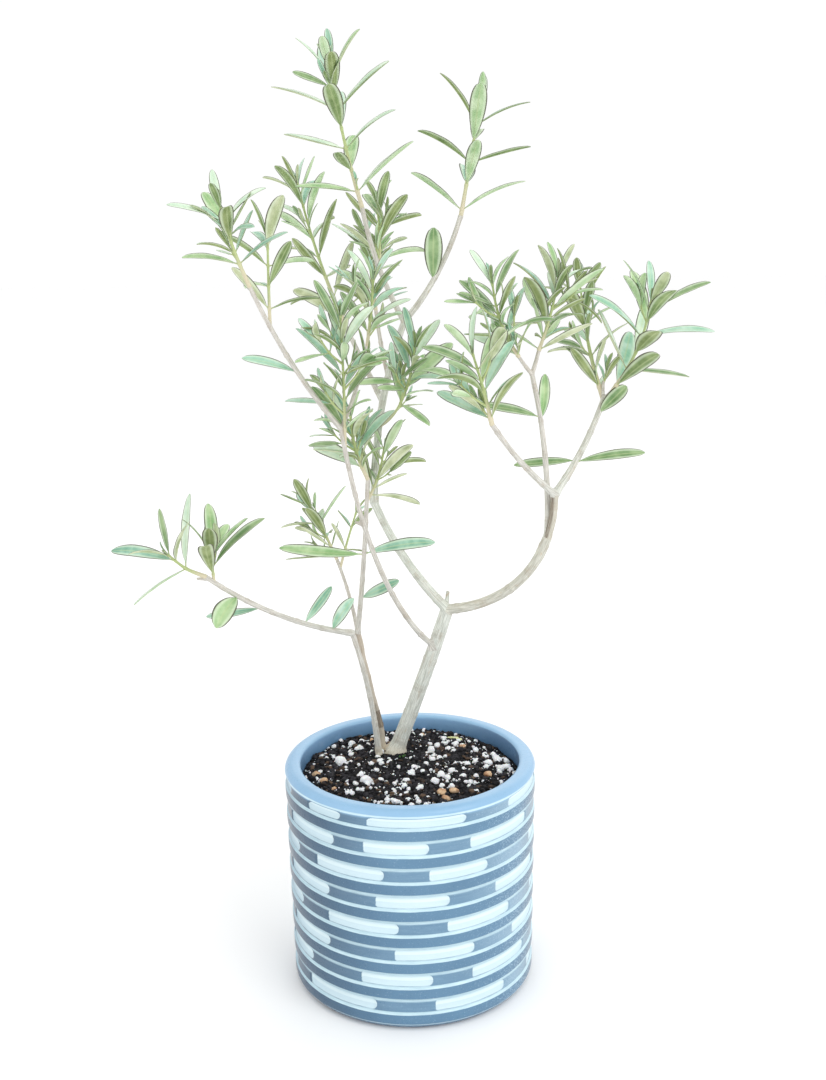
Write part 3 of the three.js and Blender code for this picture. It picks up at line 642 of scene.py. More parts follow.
class Plant:
    """The limbs, leafy shoots and single leaves, grown by the rule of the solids."""

    def __init__(self):
        self.clearance = Clearance()
        self.limbs = {}
        self.shoots = []
        self.leaves = []
        for row in LIMBS:
            self._grow_limb(row)
        paths = [trace_path(self._start(row), row) for row in MASSES]
        for row, path in zip(MASSES, paths):
            self.clearance.add_path(row["name"], path, row["length"], lambda _: TWIG_BASE_RADIUS)
        for row in LEAVES:
            self._grow_single_leaf(row)
        for index, (row, path) in enumerate(zip(MASSES, paths)):
            bough = self.limbs[row["parent"]]
            joint_radius = bough["radius_at"](row["at"]) if row["at"] == 1 else SHOOT_BASE_RADIUS
            draw = seeded_numbers(MASS_SEED + MASS_SEED_STEP * index)
            self._grow_stem(row | dict(owner=row["name"]), path, draw, 0, joint_radius)
        self._grow_fine_twigs()
        self._lean(self.limbs["stem_left_back"], self.limbs["stem_left_front"])

    def _lean(self, limb, support):
        """Bends a stem over until it touches its neighbour, all but its foot and upper end."""
        fractions = np.linspace(0, 1, LEAN_SAMPLES)
        beside = np.array([support["path"].point(f) for f in fractions])
        points = []
        for fraction in fractions:
            point = limb["path"].point(fraction)
            apart = beside - point
            nearest = apart[np.argmin((apart**2).sum(axis=1))]
            distance = np.linalg.norm(nearest)
            touching = LEAN_TOUCH * (limb["radius_at"](0.5) + support["radius_at"](0.5))
            weight = smooth(0.1, 0.55, fraction) * (1 - smooth(0.8, 1, fraction))
            points.append(point + nearest * max(0, 1 - touching / distance) * weight)
        limb["path"] = Path(points)

    def _start(self, row):
        if row["parent"] is None:
            return np.array([*row["at"], SOIL_TOP + GAP])
        return self.limbs[row["parent"]]["path"].point(row["at"])

    def _grow_limb(self, row):
        path = trace_path(self._start(row), row)

        def radius_at(fraction):
            height = fraction * row["length"]
            flare = FLARE_SPREAD * max(0, 1 - height / FLARE_HEIGHT) ** 2
            return mix(*row["radius"], fraction) * (1 + (flare if row["parent"] is None else 0))

        self.limbs[row["name"]] = dict(path=path, radius_at=radius_at, row=row)
        self.clearance.add_path(row["name"], path, row["length"], radius_at)

    def _grow_single_leaf(self, row):
        root = self._start(row)
        along = direction(row["heading"], row["rise"])
        for centre, radius in leaf_balls(root, along, row["length"], row["width"]):
            self.clearance.add(row["name"], centre, radius)
        self._keep_leaf(
            root, along, direction(-90, SINGLE_LEAF_FACE), row["length"], row["width"], row["name"],
        )

    def _keep_leaf(self, root, along, up, length, width, spray):
        self.leaves.append(dict(
            root=root, along=along, up=up, length=length, width=width, spray=spray,
        ))

    def _add_leaf(self, owner, node, tangent, outward, spread, length, width):
        """Adds a leaf at a stem's node, where it has room."""
        along, up = leaf_turned(tangent, outward, towards_light(spread, outward))
        balls = leaf_balls(node, along, length, width)
        if self.clearance.is_clear(owner, balls):
            for centre, radius in balls:
                self.clearance.add(owner, centre, radius)
            self._keep_leaf(node + outward * LEAF_STANDOFF, along, up, length, width, owner)

    def _grow_stem(self, row, path, draw, depth, joint_radius):
        nodes = []
        for k in range(row["pairs"]):
            age = k / (row["pairs"] - 1)
            fraction = mix(LAST_NODE, row["bare"], (1 - age) ** NODE_CROWDING)
            nodes.append(fraction)
            node, tangent = path.point(fraction), path.tangent(fraction)
            roll = row["turn"] + 90 * k + LEAF_SCATTER * (draw() - 0.5)
            outward = spoke(tangent, math.radians(roll))
            for way in (1, -1):
                spread = mix(LEAF_SPREAD_LOW, LEAF_SPREAD_TIP, age**LEAF_SPREAD_EASE)
                spread += LEAF_SCATTER * (draw() - 0.5)
                length = row["leaf"] * mix(1, LEAF_TIP_LENGTH, age**LEAF_LENGTH_EASE)
                length *= mix(*LEAF_LENGTHS, draw())
                width = length * LEAF_WIDTH_RATIO * mix(*LEAF_WIDTHS, draw())
                self._add_leaf(row["owner"], node, tangent, outward * way, spread, length, width)
        self.shoots.append(dict(
            path=path, owner=row["owner"], nodes=nodes, depth=depth, joint_radius=joint_radius,
            leaf=row["leaf"],
        ))
        if depth == 0:
            for k in range(row["twigs"]):
                self._grow_side_twig(row, path, draw, k)

    def _grow_side_twig(self, row, path, draw, k):
        fraction = mix(row["bare"], SIDE_TWIG_LAST, (k + 0.5) / row["twigs"])
        tangent = path.tangent(fraction)
        roll = row["turn"] + 45 + 180 * k + SIDE_TWIG_SCATTER * (draw() - 0.5)
        lean = tangent * 0.75 + spoke(tangent, math.radians(roll)) * 0.66
        length = mix(*SIDE_TWIG_LENGTHS, draw())
        start = path.point(fraction)
        middle = start + lean * length * 0.5
        end = middle + lean * length * 0.35 + tangent * length * 0.15
        twig_path = Path([start, middle, end])
        balls = [(twig_path.point(at), TWIG_TIP_RADIUS) for at in (0.4, 0.7, 1)]
        if self.clearance.is_clear(row["owner"], balls):
            twig = dict(owner=row["owner"], pairs=2, bare=0.55,
                        leaf=row["leaf"] * SIDE_TWIG_LEAF, turn=180 * draw())
            self._grow_stem(twig, twig_path, draw, 1, 0.7)

    def _grow_fine_twigs(self):
        """Late leaves between the nodes, small side shoots in their angles and buds at the tips."""
        draw = seeded_numbers(LATE_SEED)
        for shoot in list(self.shoots):
            path, owner = shoot["path"], shoot["owner"]
            self._add_bud(owner, path, BUD_LENGTHS, draw)
            if shoot["depth"] == 1:
                continue
            full = owner in FULL_MASSES
            nodes = sorted(shoot["nodes"])
            for low, high in zip(nodes, nodes[1:]):
                if full and (high - low) * path.length > LATE_LEAF_GAP:
                    self._add_pair(shoot, (low + high) / 2, LATE_LEAF_SIZES, draw)
            for fraction in nodes[:-2] + [nodes[0] * 0.6] * full:
                if draw() < (FULL_SHOOT_SHARE if full else OPEN_SHOOT_SHARE):
                    self._add_side_shoot(shoot, fraction, draw)

    def _add_side_shoot(self, shoot, fraction, draw):
        path, owner = shoot["path"], shoot["owner"]
        tangent = path.tangent(fraction)
        outward = spoke(tangent, 2 * math.pi * draw())
        along = unit(tangent * 0.8 + outward * 0.6)
        start = path.point(fraction)
        length = mix(*SIDE_SHOOT_LENGTHS, draw())
        if not self.clearance.is_clear(owner, [(start + along * length, TWIG_TIP_RADIUS)]):
            return
        middle = start + along * length * 0.5
        twig = Path([start, middle, middle + unit(along + tangent * 0.4) * length * 0.5])
        side = dict(path=twig, owner=owner, nodes=[SIDE_LEAF_PLACE], depth=2, joint_radius=0.5,
                    leaf=shoot["leaf"])
        self.shoots.append(side)
        if length > LEAFY_SHOOT_LENGTH:
            self._add_pair(side, SIDE_LEAF_PLACE, SIDE_LEAF_SIZES, draw)
        self._add_bud(owner, twig, SIDE_BUD_LENGTHS, draw)

    def _add_pair(self, shoot, fraction, sizes, draw):
        """Two smaller leaves, one on each side of a shoot."""
        point, tangent = shoot["path"].point(fraction), shoot["path"].tangent(fraction)
        outward = spoke(tangent, math.radians(360 * draw()))
        size = mix(*sizes, draw())
        for way in (1, -1):
            spread = mix(*LATE_LEAF_SPREADS, draw())
            length = shoot["leaf"] * size * mix(*LATE_LENGTHS, draw())
            width = length * LEAF_WIDTH_RATIO * mix(*LATE_WIDTHS, draw())
            self._add_leaf(shoot["owner"], point, tangent, outward * way, spread, length, width)

    def _add_bud(self, owner, path, lengths, draw):
        """Two pairs of small leaves at a shoot's tip, the inner pair nearly closed."""
        tip, tangent = path.point(1), path.tangent(1)
        turn = 360 * draw()
        leaf = mix(*lengths, draw())
        for pair, (spread, size) in enumerate(BUD_PAIRS):
            outward = spoke(tangent, math.radians(turn + 90 * pair))
            for way in (1, -1):
                angle = math.radians(spread * mix(*BUD_SPREADS, draw()))
                along, up = leaf_turned(tangent, outward * way, angle)
                length = leaf * size * mix(*LATE_LENGTHS, draw())
                if self.clearance.is_clear(owner, [(tip + along * length, 0.5)]):
                    root = tip - tangent * LEAF_STANDOFF
                    self._keep_leaf(root, along, up, length, length * BUD_WIDTH_RATIO, owner)


# The pot
def pot_radius_at(level):
    return mix(POT_BASE_RADIUS, POT_RADIUS, level / POT_HEIGHT)


def dash_list():
    """The dashes of every band all the way round, as (middle, half width) in degrees."""
    draw = seeded_numbers(DASH_SEED)
    bands = []
    for front in BAND_POCKETS:
        dashes = list(front)
        place = front[-1][1] + BAR_SPAN
        last = front[0][0] + 360 - BAR_SPAN
        while last - place > SHORTEST_SPAN:
            span = min(POCKET_SPAN * mix(0.85, 1.2, draw()), last - place)
            dashes.append((place, place + span))
            place += span + BAR_SPAN * mix(0.8, 1.3, draw())
        bands.append([((a + b) / 2, (b - a) / 2) for a, b in dashes])
    return bands


def dash_distance(angles, level, dashes, middle_level):
    """How far each angle lies outside the nearest dash at this level, in mm, less than 0 inside."""
    nearest = np.full(len(angles), OUTSIDE_DASH)
    for middle, half in dashes:
        arc = np.radians((angles - middle + 180) % 360 - 180) * POT_RADIUS
        rounding = np.where(arc < 0, POCKET_START_ROUND, POCKET_END_ROUND)
        across = np.abs(arc) - np.radians(half) * POT_RADIUS + rounding
        tall = abs(level - middle_level) - BAND_HALF_HEIGHT + rounding
        outside = np.hypot(np.maximum(across, 0), np.maximum(tall, 0))
        nearest = np.minimum(nearest, outside + np.minimum(np.maximum(across, tall), 0) - rounding)
    return nearest


def pot_levels():
    """Levels of the outside, close together along the edges of the ridges and dashes."""
    levels = set(FOOT_LEVELS)
    for i in range(RIDGE_COUNT):
        middle = TOP_RIDGE_LEVEL - i * RIDGE_PITCH
        for offset in (*RIDGE_OFFSETS, RIDGE_PITCH / 2):
            levels |= {round(middle + offset, 3), round(middle - offset, 3)}
    return sorted(level for level in levels if 0 < level < RIM_START) + RIM_LEVELS


def build_pot():
    angles = np.arange(POT_SIDES) * 360 / POT_SIDES
    bands = dash_list()
    # Each ring's radius, level, distance from a dash and zone: 0 outside, 1 on the rim, 2 inside
    rings = []
    for radius in (0, 30, POT_BASE_RADIUS - FOOT_ROUND):
        rings.append((max(radius, 0.01), 0, OUTSIDE_DASH, 0))
    for level in pot_levels():
        ridge = round((TOP_RIDGE_LEVEL - level) / RIDGE_PITCH)
        ridge = min(max(ridge, 0), RIDGE_COUNT - 1)
        away = abs(level - (TOP_RIDGE_LEVEL - ridge * RIDGE_PITCH))
        band = math.floor((TOP_RIDGE_LEVEL - level) / RIDGE_PITCH) + 1
        depth = np.full(POT_SIDES, RIDGE_ROUNDING * min(away / RIDGE_HALF_HEIGHT, 1) ** 2)
        distance = OUTSIDE_DASH
        if 0 <= band < RIDGE_COUNT and level < POT_HEIGHT - RIM_ROUND:
            middle = TOP_RIDGE_LEVEL + (0.5 - band) * RIDGE_PITCH
            distance = dash_distance(angles, level, bands[band], middle)
            edge = smooth(RIDGE_HALF_HEIGHT, RIDGE_END, away)
            bar = smooth(*BAR_RISE, away)
            inside = smooth(*DASH_FALL, distance)
            depth = depth + edge * (GROOVE_DEPTH - (GROOVE_DEPTH - BAR_DEPTH) * bar * (1 - inside))
            depth = depth + inside * (POCKET_DEPTH - GROOVE_DEPTH)
        elif level < TOP_RIDGE_LEVEL - (RIDGE_COUNT - 1) * RIDGE_PITCH - RIDGE_HALF_HEIGHT:
            depth = depth + GROOVE_DEPTH * 0.5 * smooth(0, 1, away - RIDGE_HALF_HEIGHT)
        radius = pot_radius_at(level)
        if level < FOOT_ROUND:
            radius -= FOOT_ROUND - math.sqrt(FOOT_ROUND**2 - (FOOT_ROUND - level) ** 2)
        rim = level - (POT_HEIGHT - RIM_ROUND)
        if rim > 0:
            radius -= RIM_ROUND - math.sqrt(max(RIM_ROUND**2 - rim**2, 0))
        rings.append((radius - depth, level, distance, rim > RIM_COLOUR_START))
    for radius, level in POT_INSIDE:
        rings.append((radius, level, OUTSIDE_DASH, 1 if level > LIP_END else 2))
    turn = np.radians(angles)
    points, distances, zones = [], [], []
    for radius, level, distance, zone in rings:
        x, y = radius * np.sin(turn), -radius * np.cos(turn)
        points.append(np.stack([x, y, np.full(POT_SIDES, float(level))], axis=1))
        distances.append(np.broadcast_to(distance, POT_SIDES))
        zones.append(np.full(POT_SIDES, zone))
    shape = Shape()
    shape.add(np.concatenate(points), skin(len(rings), POT_SIDES))
    mesh = shape.mesh("pot_glazed")
    set_marks(mesh, "dash", np.concatenate(distances), np.concatenate(zones))
    clean(mesh, PINCH)
    return place("pot_glazed", mesh, [glaze_finish()], "glazed_pot", ["pot"])


# Joining meshes to the frame
def set_marks(mesh, name, *columns):
    """Up to three numbers for each point, which a finish reads by their name."""
    values = np.zeros((len(mesh.vertices), 3), np.float32)
    for i, column in enumerate(columns):
        values[:, i] = column
    layer = mesh.attributes.new(name, "FLOAT_VECTOR", "POINT")
    layer.data.foreach_set("vector", values.ravel())


def clean(mesh, distance=0.0):
    """Closes pinched rings, and turns every face outwards."""
    work = bmesh.new()
    work.from_mesh(mesh)
    if distance:
        bmesh.ops.remove_doubles(work, verts=work.verts, dist=distance)
    bmesh.ops.recalc_face_normals(work, faces=work.faces)
    work.to_mesh(mesh)
    work.free()


def place(name, mesh, finishes, slot, replaced=()):
    piece = bpy.data.objects.new(name, mesh)
    bpy.context.scene.collection.objects.link(piece)
    for finish in finishes:
        mesh.materials.append(finish)
    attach(piece, "root")
    if replaced:
        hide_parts(*replaced)
    return piece


# Potting soil
def soil_height(x, y):
    radius = np.hypot(x, y)
    slope = mix(SOIL_TOP, SOIL_EDGE, np.clip((radius - SOIL_FLAT_RADIUS) / SOIL_SLOPE_LENGTH, 0, 1))
    at = np.stack([x, y, np.zeros_like(x)], axis=1)
    rough = sum(ripple(at / length, seed) * share for length, seed, share in SOIL_WAVES)
    heap = SOIL_HEAP * smooth(10, 60, y - 0.3 * x)
    return slope + heap + rough * SOIL_ROUGHNESS


def build_soil():
    rim = POT_INNER_RADIUS - 0.1
    turn = np.arange(SOIL_SIDES) * 2 * math.pi / SOIL_SIDES
    points = []
    for radius in np.linspace(0.4, rim, SOIL_RINGS):
        x, y = radius * np.cos(turn), radius * np.sin(turn)
        points.append(np.stack([x, y, soil_height(x, y)], axis=1))
    for level in (SOIL_WAIST, POT_FLOOR + GAP):
        points.append(np.stack([x, y, np.full(SOIL_SIDES, float(level))], axis=1))
    shape = Shape()
    top, bottom = lids(len(points), SOIL_SIDES)
    faces = skin(len(points), SOIL_SIDES) + [tuple(reversed(top)), bottom]
    shape.add(np.concatenate(points), faces)
    mesh = shape.mesh("potting_mix")
    clean(mesh)
    place("potting_mix", mesh, [peat_finish()], "potting_soil", ["soil"])


def ball(subdivisions):
    work = bmesh.new()
    bmesh.ops.create_icosphere(work, subdivisions=subdivisions, radius=1)
    points = np.array([v.co for v in work.verts])
    faces = [tuple(v.index for v in f.verts) for f in work.faces]
    work.free()
    return points, faces


def build_lumps(name, spots, finish, rng):
    """Lumps of one kind, each with a shape of its own, bedded in the top of the soil."""
    detail, bump, flat, stand = LUMPS[name]
    base, faces = ball(detail)
    shape = Shape()
    for x, y, size in spots:
        turned = base @ np.array(Matrix.Rotation(rng.uniform(0, 6.3), 3, rng.normal(size=3)))
        lumpy = 1 + bump * ripple(turned * 1.3 + rng.uniform(0, 50, 3), 9)[:, None]
        lumpy = lumpy + bump * 0.5 * ripple(turned * 3.1 + rng.uniform(0, 50, 3), 8)[:, None]
        stretch = size * np.array([rng.uniform(0.8, 1.2), rng.uniform(0.8, 1.2), flat])
        spin = np.array(Matrix.Rotation(rng.uniform(0, 6.3), 3, "Z"))
        tilt = np.array(Matrix.Rotation(rng.uniform(-0.5, 0.5), 3, "X"))
        lump = (turned * lumpy * stretch) @ tilt @ spin
        level = soil_height(np.array([x]), np.array([y]))[0]
        centre = np.array([x, y, level + size * flat * stand])
        outer = np.hypot(*(lump + centre)[:, :2].T).max()
        if outer > POT_INNER_RADIUS - 0.2:
            centre[:2] *= max(0, 1 - (outer - POT_INNER_RADIUS + 0.3) / np.hypot(x, y))
        shape.add(lump + centre, faces)
    mesh = shape.mesh(name)
    clean(mesh)
    place(name, mesh, [finish], "potting_soil", ["soil"])


def scatter(rng, count, low, high, power=2.0):
    turn = rng.uniform(0, 2 * math.pi, count)
    radius = SCATTER_RADIUS * np.sqrt(rng.uniform(0, 1, count))
    size = low + (high - low) * rng.uniform(0, 1, count) ** power
    return list(zip(radius * np.cos(turn), radius * np.sin(turn), size))


def clustered(rng, spots, count):
    """Small grains huddled round some of the larger ones."""
    huddle = []
    for x, y, _ in spots:
        for _ in range(count):
            turn, away = rng.uniform(0, 6.3), rng.uniform(1.2, 3.6)
            huddle.append((x + away * math.cos(turn), y + away * math.sin(turn),
                           rng.uniform(0.4, 1.2)))
    return [spot for spot in huddle if math.hypot(*spot[:2]) < HUDDLE_RADIUS]


def build_top_dressing():
    rng = np.random.default_rng(SOIL_SEED)
    build_lumps("peat_crumbs", scatter(rng, 2600, 0.5, 2.2), crumb_finish(), rng)
    build_lumps("bark_bits", scatter(rng, 420, 0.9, 2.6), bark_bit_finish(), rng)
    loose = scatter(rng, 1000, 0.35, 2.1, 4.5)
    spots = PERLITE_PLACES + loose + clustered(rng, loose[:HUDDLE_HEARTS], HUDDLE_SIZE)
    build_lumps("perlite", spots, perlite_finish(), rng)
    build_lumps("pebbles", PEBBLE_PLACES, pebble_finish(), rng)
    build_lumps("dry_chip", CHIP_PLACES, chip_finish(), rng)
    build_lumps("moss_tuft", MOSS_PLACES, moss_finish(), rng)


# Wood
def wood_shapes(plant):
    """Closed tubes for the thick lower limbs and for the boughs, each lot to be melted into one."""
    thick, thin = Shape(), Shape()
    for name, limb in plant.limbs.items():
        row, path, radius_at = limb["row"], limb["path"], limb["radius_at"]
        stout = name in STOUT_LIMBS
        points, faces = tube(path, radius_at, STOUT_SIDES if stout else SLIM_SIDES, 1.5)
        (thick if stout else thin).add(points, faces)
        if row["parent"] is None:
            foot = path.point(0)
            lead = path.tangent(0)
            root = Path([foot - lead * 5, foot - lead * 2, foot + lead * 1.5])
            thick.add(*tube(root, lambda f: radius_at(0) * mix(1.08, 1, f), STOUT_SIDES, 1.2))
        elif not stout and row["parent"] in STOUT_LIMBS:
            collar = min(COLLAR_SHARE, COLLAR_LENGTH / row["length"])
            thick.add(*tube(
                path, lambda f: radius_at(f) * (1.22 - 0.5 * smooth(0.1, 1, f / collar)),
                COLLAR_SIDES, 1, 0, collar,
            ))
    for name, at, heading, rise, length, radius in STUBS:
        limb = plant.limbs[name]
        start = limb["path"].point(at)
        lead = direction(heading, rise)
        stub = Path([start, start + lead * length * 0.5, start + lead * length])
        target = thick if name in STOUT_LIMBS else thin
        target.add(*tube(stub, lambda f: radius * mix(1.15, 0.92, f), SLIM_SIDES, 1))
    return thick, thin


def melted(shape, name, voxel):
    """The tubes joined into one skin by a fine voxel remesh, and smoothed."""
    mesh = shape.mesh(name, 1.0)
    body = bpy.data.objects.new(name, mesh)
    bpy.context.scene.collection.objects.link(body)
    remesh = body.modifiers.new("remesh", "REMESH")
    remesh.mode = "VOXEL"
    remesh.voxel_size = voxel
    relax = body.modifiers.new("relax", "SMOOTH")
    relax.factor = 0.5
    relax.iterations = 3
    bpy.context.view_layer.update()
    shown = body.evaluated_get(bpy.context.evaluated_depsgraph_get())
    result = bpy.data.meshes.new_from_object(shown)
    bpy.data.objects.remove(body)
    return result


def limb_tree(plant):
    """Places close together on every limb, with their frames, in a tree for the nearest one."""
    rows = []
    for index, (name, limb) in enumerate(plant.limbs.items()):
        length = limb["row"]["length"]
        brown = BROWN_BARK.get(name, 0)
        dark_mark_start, dark_mark_end, one_side = SCARS_AND_SHADOWS.get(name, (1, 0, False))
        count = max(4, round(length / BARK_SAMPLE_SPACING))
        fractions = np.linspace(0, 1, count + 1)
        for fraction, frame in zip(fractions, carried_frames(limb["path"], fractions)):
            run = fraction * length + index * BARK_RUN_STEP
            scar_and_shadow = (-1 if one_side else 1) * (dark_mark_start < fraction < dark_mark_end)
            rows.append((*np.concatenate(frame), limb["radius_at"](fraction), run, brown, scar_and_shadow))
    table = np.array(rows)
    tree = KDTree(len(table))
    for i, row in enumerate(table):
        tree.insert(row[:3], i)
    tree.balance()
    return table, tree


def carve_bark(mesh, table, tree):
    """Striations, lenticels and node swellings, measured along and around the nearest limb."""
    count = len(mesh.vertices)
    points = np.empty(count * 3)
    mesh.vertices.foreach_get("co", points)
    points = points.reshape(-1, 3)
    nearest = table[[tree.find(p)[1] for p in points]]
    axis, lead, side, up = (nearest[:, i:i + 3] for i in (0, 3, 6, 9))
    radius, run, brown, scar_and_shadow = nearest[:, 12:].T
    out = points - axis
    run = run + (out * lead).sum(axis=1)
    out = out - lead * (out * lead).sum(axis=1)[:, None]
    reach = np.linalg.norm(out, axis=1) + 1e-6
    out = out / reach[:, None]
    grain = np.stack([(out * side).sum(axis=1) * radius, (out * up).sum(axis=1) * radius, run], 1)
    streak = ripple(grain * [1.5, 1.5, 0.16], 1) * 0.6 + ripple(grain * [3.1, 3.1, 0.3], 2) * 0.4
    swell = ripple(grain * [0.12, 0.12, 0.06], 5)
    to_node = np.abs((run / NODE_SPACING) % 1 - 0.5) * NODE_SPACING
    turned = np.floor(run / NODE_SPACING) % 2
    facing = np.where(turned > 0, np.abs(grain[:, 0]), np.abs(grain[:, 1])) / (radius + 1e-6)
    node = np.exp(-((to_node / 1.3) ** 2)) * smooth(0.2, 0.95, facing)
    crease = np.exp(-(((to_node - 1.9) / 0.5) ** 2)) * smooth(0.2, 0.9, facing)
    pore = smooth(0.62, 0.9, ripple(grain * [1.15, 1.15, 0.62], 7))
    thin = np.clip(radius / 3, 0.35, 1)
    lift = thin * (LINE_LIFT * streak + SWELL_LIFT * swell + PORE_LIFT * pore)
    lift = lift + np.minimum(radius, 1.6) * (NODE_LIFT * node - CREASE_DEPTH * crease)
    points = points + out * lift[:, None]
    mesh.vertices.foreach_set("co", (points * MM).ravel())
    youth = smooth(2.6, 1.1, radius)
    foot = smooth(SOIL_TOP + 9, SOIL_TOP + 1, points[:, 2])
    # A mark on the -X side alone, the painted shadow on bough_right_rise, fades round the limb
    scar_and_shadow = np.where(scar_and_shadow < 0, smooth(-0.1, 0.3, -out[:, 0]), scar_and_shadow)
    set_marks(mesh, "grain", *grain.T)
    set_marks(mesh, "bark", youth, pore, np.maximum(node, crease))
    set_marks(mesh, "stain_and_shadow", brown, scar_and_shadow, foot)
    mesh.polygons.foreach_set("use_smooth", [True] * len(mesh.polygons))
    mesh.update()


def build_wood(plant):
    table, tree = limb_tree(plant)
    finish = bark_finish()
    thick, thin = wood_shapes(plant)
    stout = [name for name in plant.limbs if name in STOUT_LIMBS]
    slim = [name for name in plant.limbs if name not in STOUT_LIMBS]
    for name, shape, voxel, replaced in (
        ("bark_trunk", thick, BARK_VOXEL, stout),
        ("bark_boughs", thin, BOUGH_VOXEL, slim),
    ):
        mesh = melted(shape, name, voxel)
        carve_bark(mesh, table, tree)
        place(name, mesh, [finish], "bark", replaced)


# Green shoots
def build_shoots(plant, foliage_names):
    shape = Shape()
    ages = []
    for shoot in plant.shoots:
        path = shoot["path"]
        tip = SHOOT_TIP_RADIUS * SHOOT_TIP_SHARES[shoot["depth"]]
        nodes = np.array(shoot["nodes"])

        def radius_at(fraction):
            radius = mix(shoot["joint_radius"], tip, fraction**SHOOT_TAPER)
            near = np.abs(nodes - fraction).min() * path.length
            return radius + SHOOT_NODE_SWELL * math.exp(-((near / SHOOT_NODE_LENGTH) ** 2))

        points, faces = tube(path, radius_at, SHOOT_SIDES, SHOOT_SPACING)
        shape.add(points, faces)
        along = np.linspace(0, 1, len(points) // SHOOT_SIDES)
        ages.append(np.repeat(mix(SHOOT_FOOT_AGES[shoot["depth"]], 1, along), SHOOT_SIDES))
    mesh = shape.mesh("olive_shoots")
    set_marks(mesh, "shoot", np.concatenate(ages))
    clean(mesh)
    place("olive_shoots", mesh, [shoot_finish()], "foliage", foliage_names)


# Leaves
def blade(leaf, rings, rng):
    """One closed leaf: petiole, folded and arched blade, sunk midrib above and raised rib below."""
    along = unit(leaf["along"])
    across = unit(np.cross(leaf["up"], along))
    face = unit(np.cross(along, across))
    length, width = leaf["length"], leaf["width"] * BLADE_FULLNESS
    fold = rng.uniform(0.1, 0.7)
    arch = rng.uniform(-0.01, 0.08)
    sickle = rng.uniform(-0.03, 0.03)
    twist = rng.uniform(-0.3, 0.3)
    tip_curl = rng.uniform(-0.02, 0.05)
    wave = rng.uniform(0, 6.3)
    thick = BLADE_THICKNESS * min(1, 0.45 + length / 50)
    places = np.array(UPPER_PLACES + LOWER_PLACES)
    aside = np.abs(places)
    upper, size = len(UPPER_PLACES), len(places)
    shares = np.concatenate([[0, 0.5 * BLADE_START], BLADE_START + (1 - BLADE_START)
                             * np.linspace(0.012, 0.995, rings - 2) ** 0.92])
    points, marks = [], []
    for share in shares:
        v = max(0, (share - BLADE_START) / (1 - BLADE_START))
        half = max(
            width / 2 * v**0.7 * (1 - v) ** 0.5 / BLADE_PEAK, PETIOLE_HALF_WIDTH * (1 - 0.8 * v),
        )
        centre = leaf["root"] + along * share * length
        centre = centre + face * length * (arch * 4 * share * (1 - share) - tip_curl * share**3)
        centre = centre + across * length * sickle * 4 * share * (1 - share)
        angle = twist * share
        sideways = across * math.cos(angle) + face * math.sin(angle)
        outwards = face * math.cos(angle) - across * math.sin(angle)
        blend = min(1, v * 9)
        body = thick * (1 - 0.35 * v) * np.sqrt(np.clip(1 - 0.9 * aside**2, 0.04, 1))
        petiole = PETIOLE_THICKNESS * np.sqrt(np.clip(1 - aside**2, 0.02, 1))
        body = mix(petiole, body, blend)
        lift = half * fold * aside * (1 - 0.35 * aside) * blend
        lift = lift + 0.02 * half * np.sin(5 * share * math.pi + wave + places) * aside**2 * blend
        top = body / 2 - MIDRIB_SINK * blend * np.exp(-((aside / 0.16) ** 2))
        rib = mix(*RIB_HEIGHTS, v) * blend * np.exp(-((aside / 0.13) ** 2))
        bottom = -body / 2 - rib
        height = np.where(np.arange(size) < upper, top, bottom) + lift
        points.append(centre + np.outer(places * half, sideways) + np.outer(height, outwards))
        marks.append(np.stack([np.full(size, share), aside], axis=1))
    sides = [0] * (upper - 1) + [1] * (size - upper + 1)
    finishes = [1] * size + sides * (rings - 2) + [1, 1]
    faces = skin(rings, size) + lids(rings, size)
    return np.concatenate(points), faces, finishes, np.concatenate(marks)


def build_leaves(plant, leaf_names):
    """The blades in two joined pieces, the upper and the lower half of the crown's leaves."""
    rng = np.random.default_rng(BLADE_SEED)
    uppers = [leaf_finish(f"leaf_upper_{name}", *row) for name, row in UPPER_TINTS.items()]
    unders = [
        leaf_finish(f"leaf_under_{name}", *row, 0.6, 0) for name, row in UNDER_TINTS.items()
    ]
    middle = sorted(leaf["root"][2] for leaf in plant.leaves)[len(plant.leaves) // 2]
    for name, wanted in (("olive_leaves_high", True), ("olive_leaves_low", False)):
        shape = Shape()
        marks = []
        # Each piece draws for every leaf, and keeps its own
        for leaf in plant.leaves:
            tint, under = rng.integers(0, len(uppers)), rng.integers(0, len(unders))
            rings = LONG_LEAF_RINGS if leaf["length"] > LONG_LEAF else SHORT_LEAF_RINGS
            points, faces, sides, mark = blade(leaf, rings, rng)
            if (leaf["root"][2] > middle) != wanted:
                continue
            if leaf["spray"] == "leaf_left_oval":
                tint = under = 0
            numbers = (int(tint), len(uppers) + int(under))
            shape.add(points, faces, [numbers[side] for side in sides])
            marks.append(mark)
        mesh = shape.mesh(name)
        set_marks(mesh, "blade", *np.concatenate(marks).T)
        clean(mesh)
        place(name, mesh, uppers + unders, "foliage", leaf_names)


# Finishes
def paint(red, green, blue):
    """A colour given as it is seen on a screen, 0 to 255, as the light that it sends back."""
    return (*(((c / 255 + 0.055) / 1.055) ** 2.4 for c in (red, green, blue)), 1)


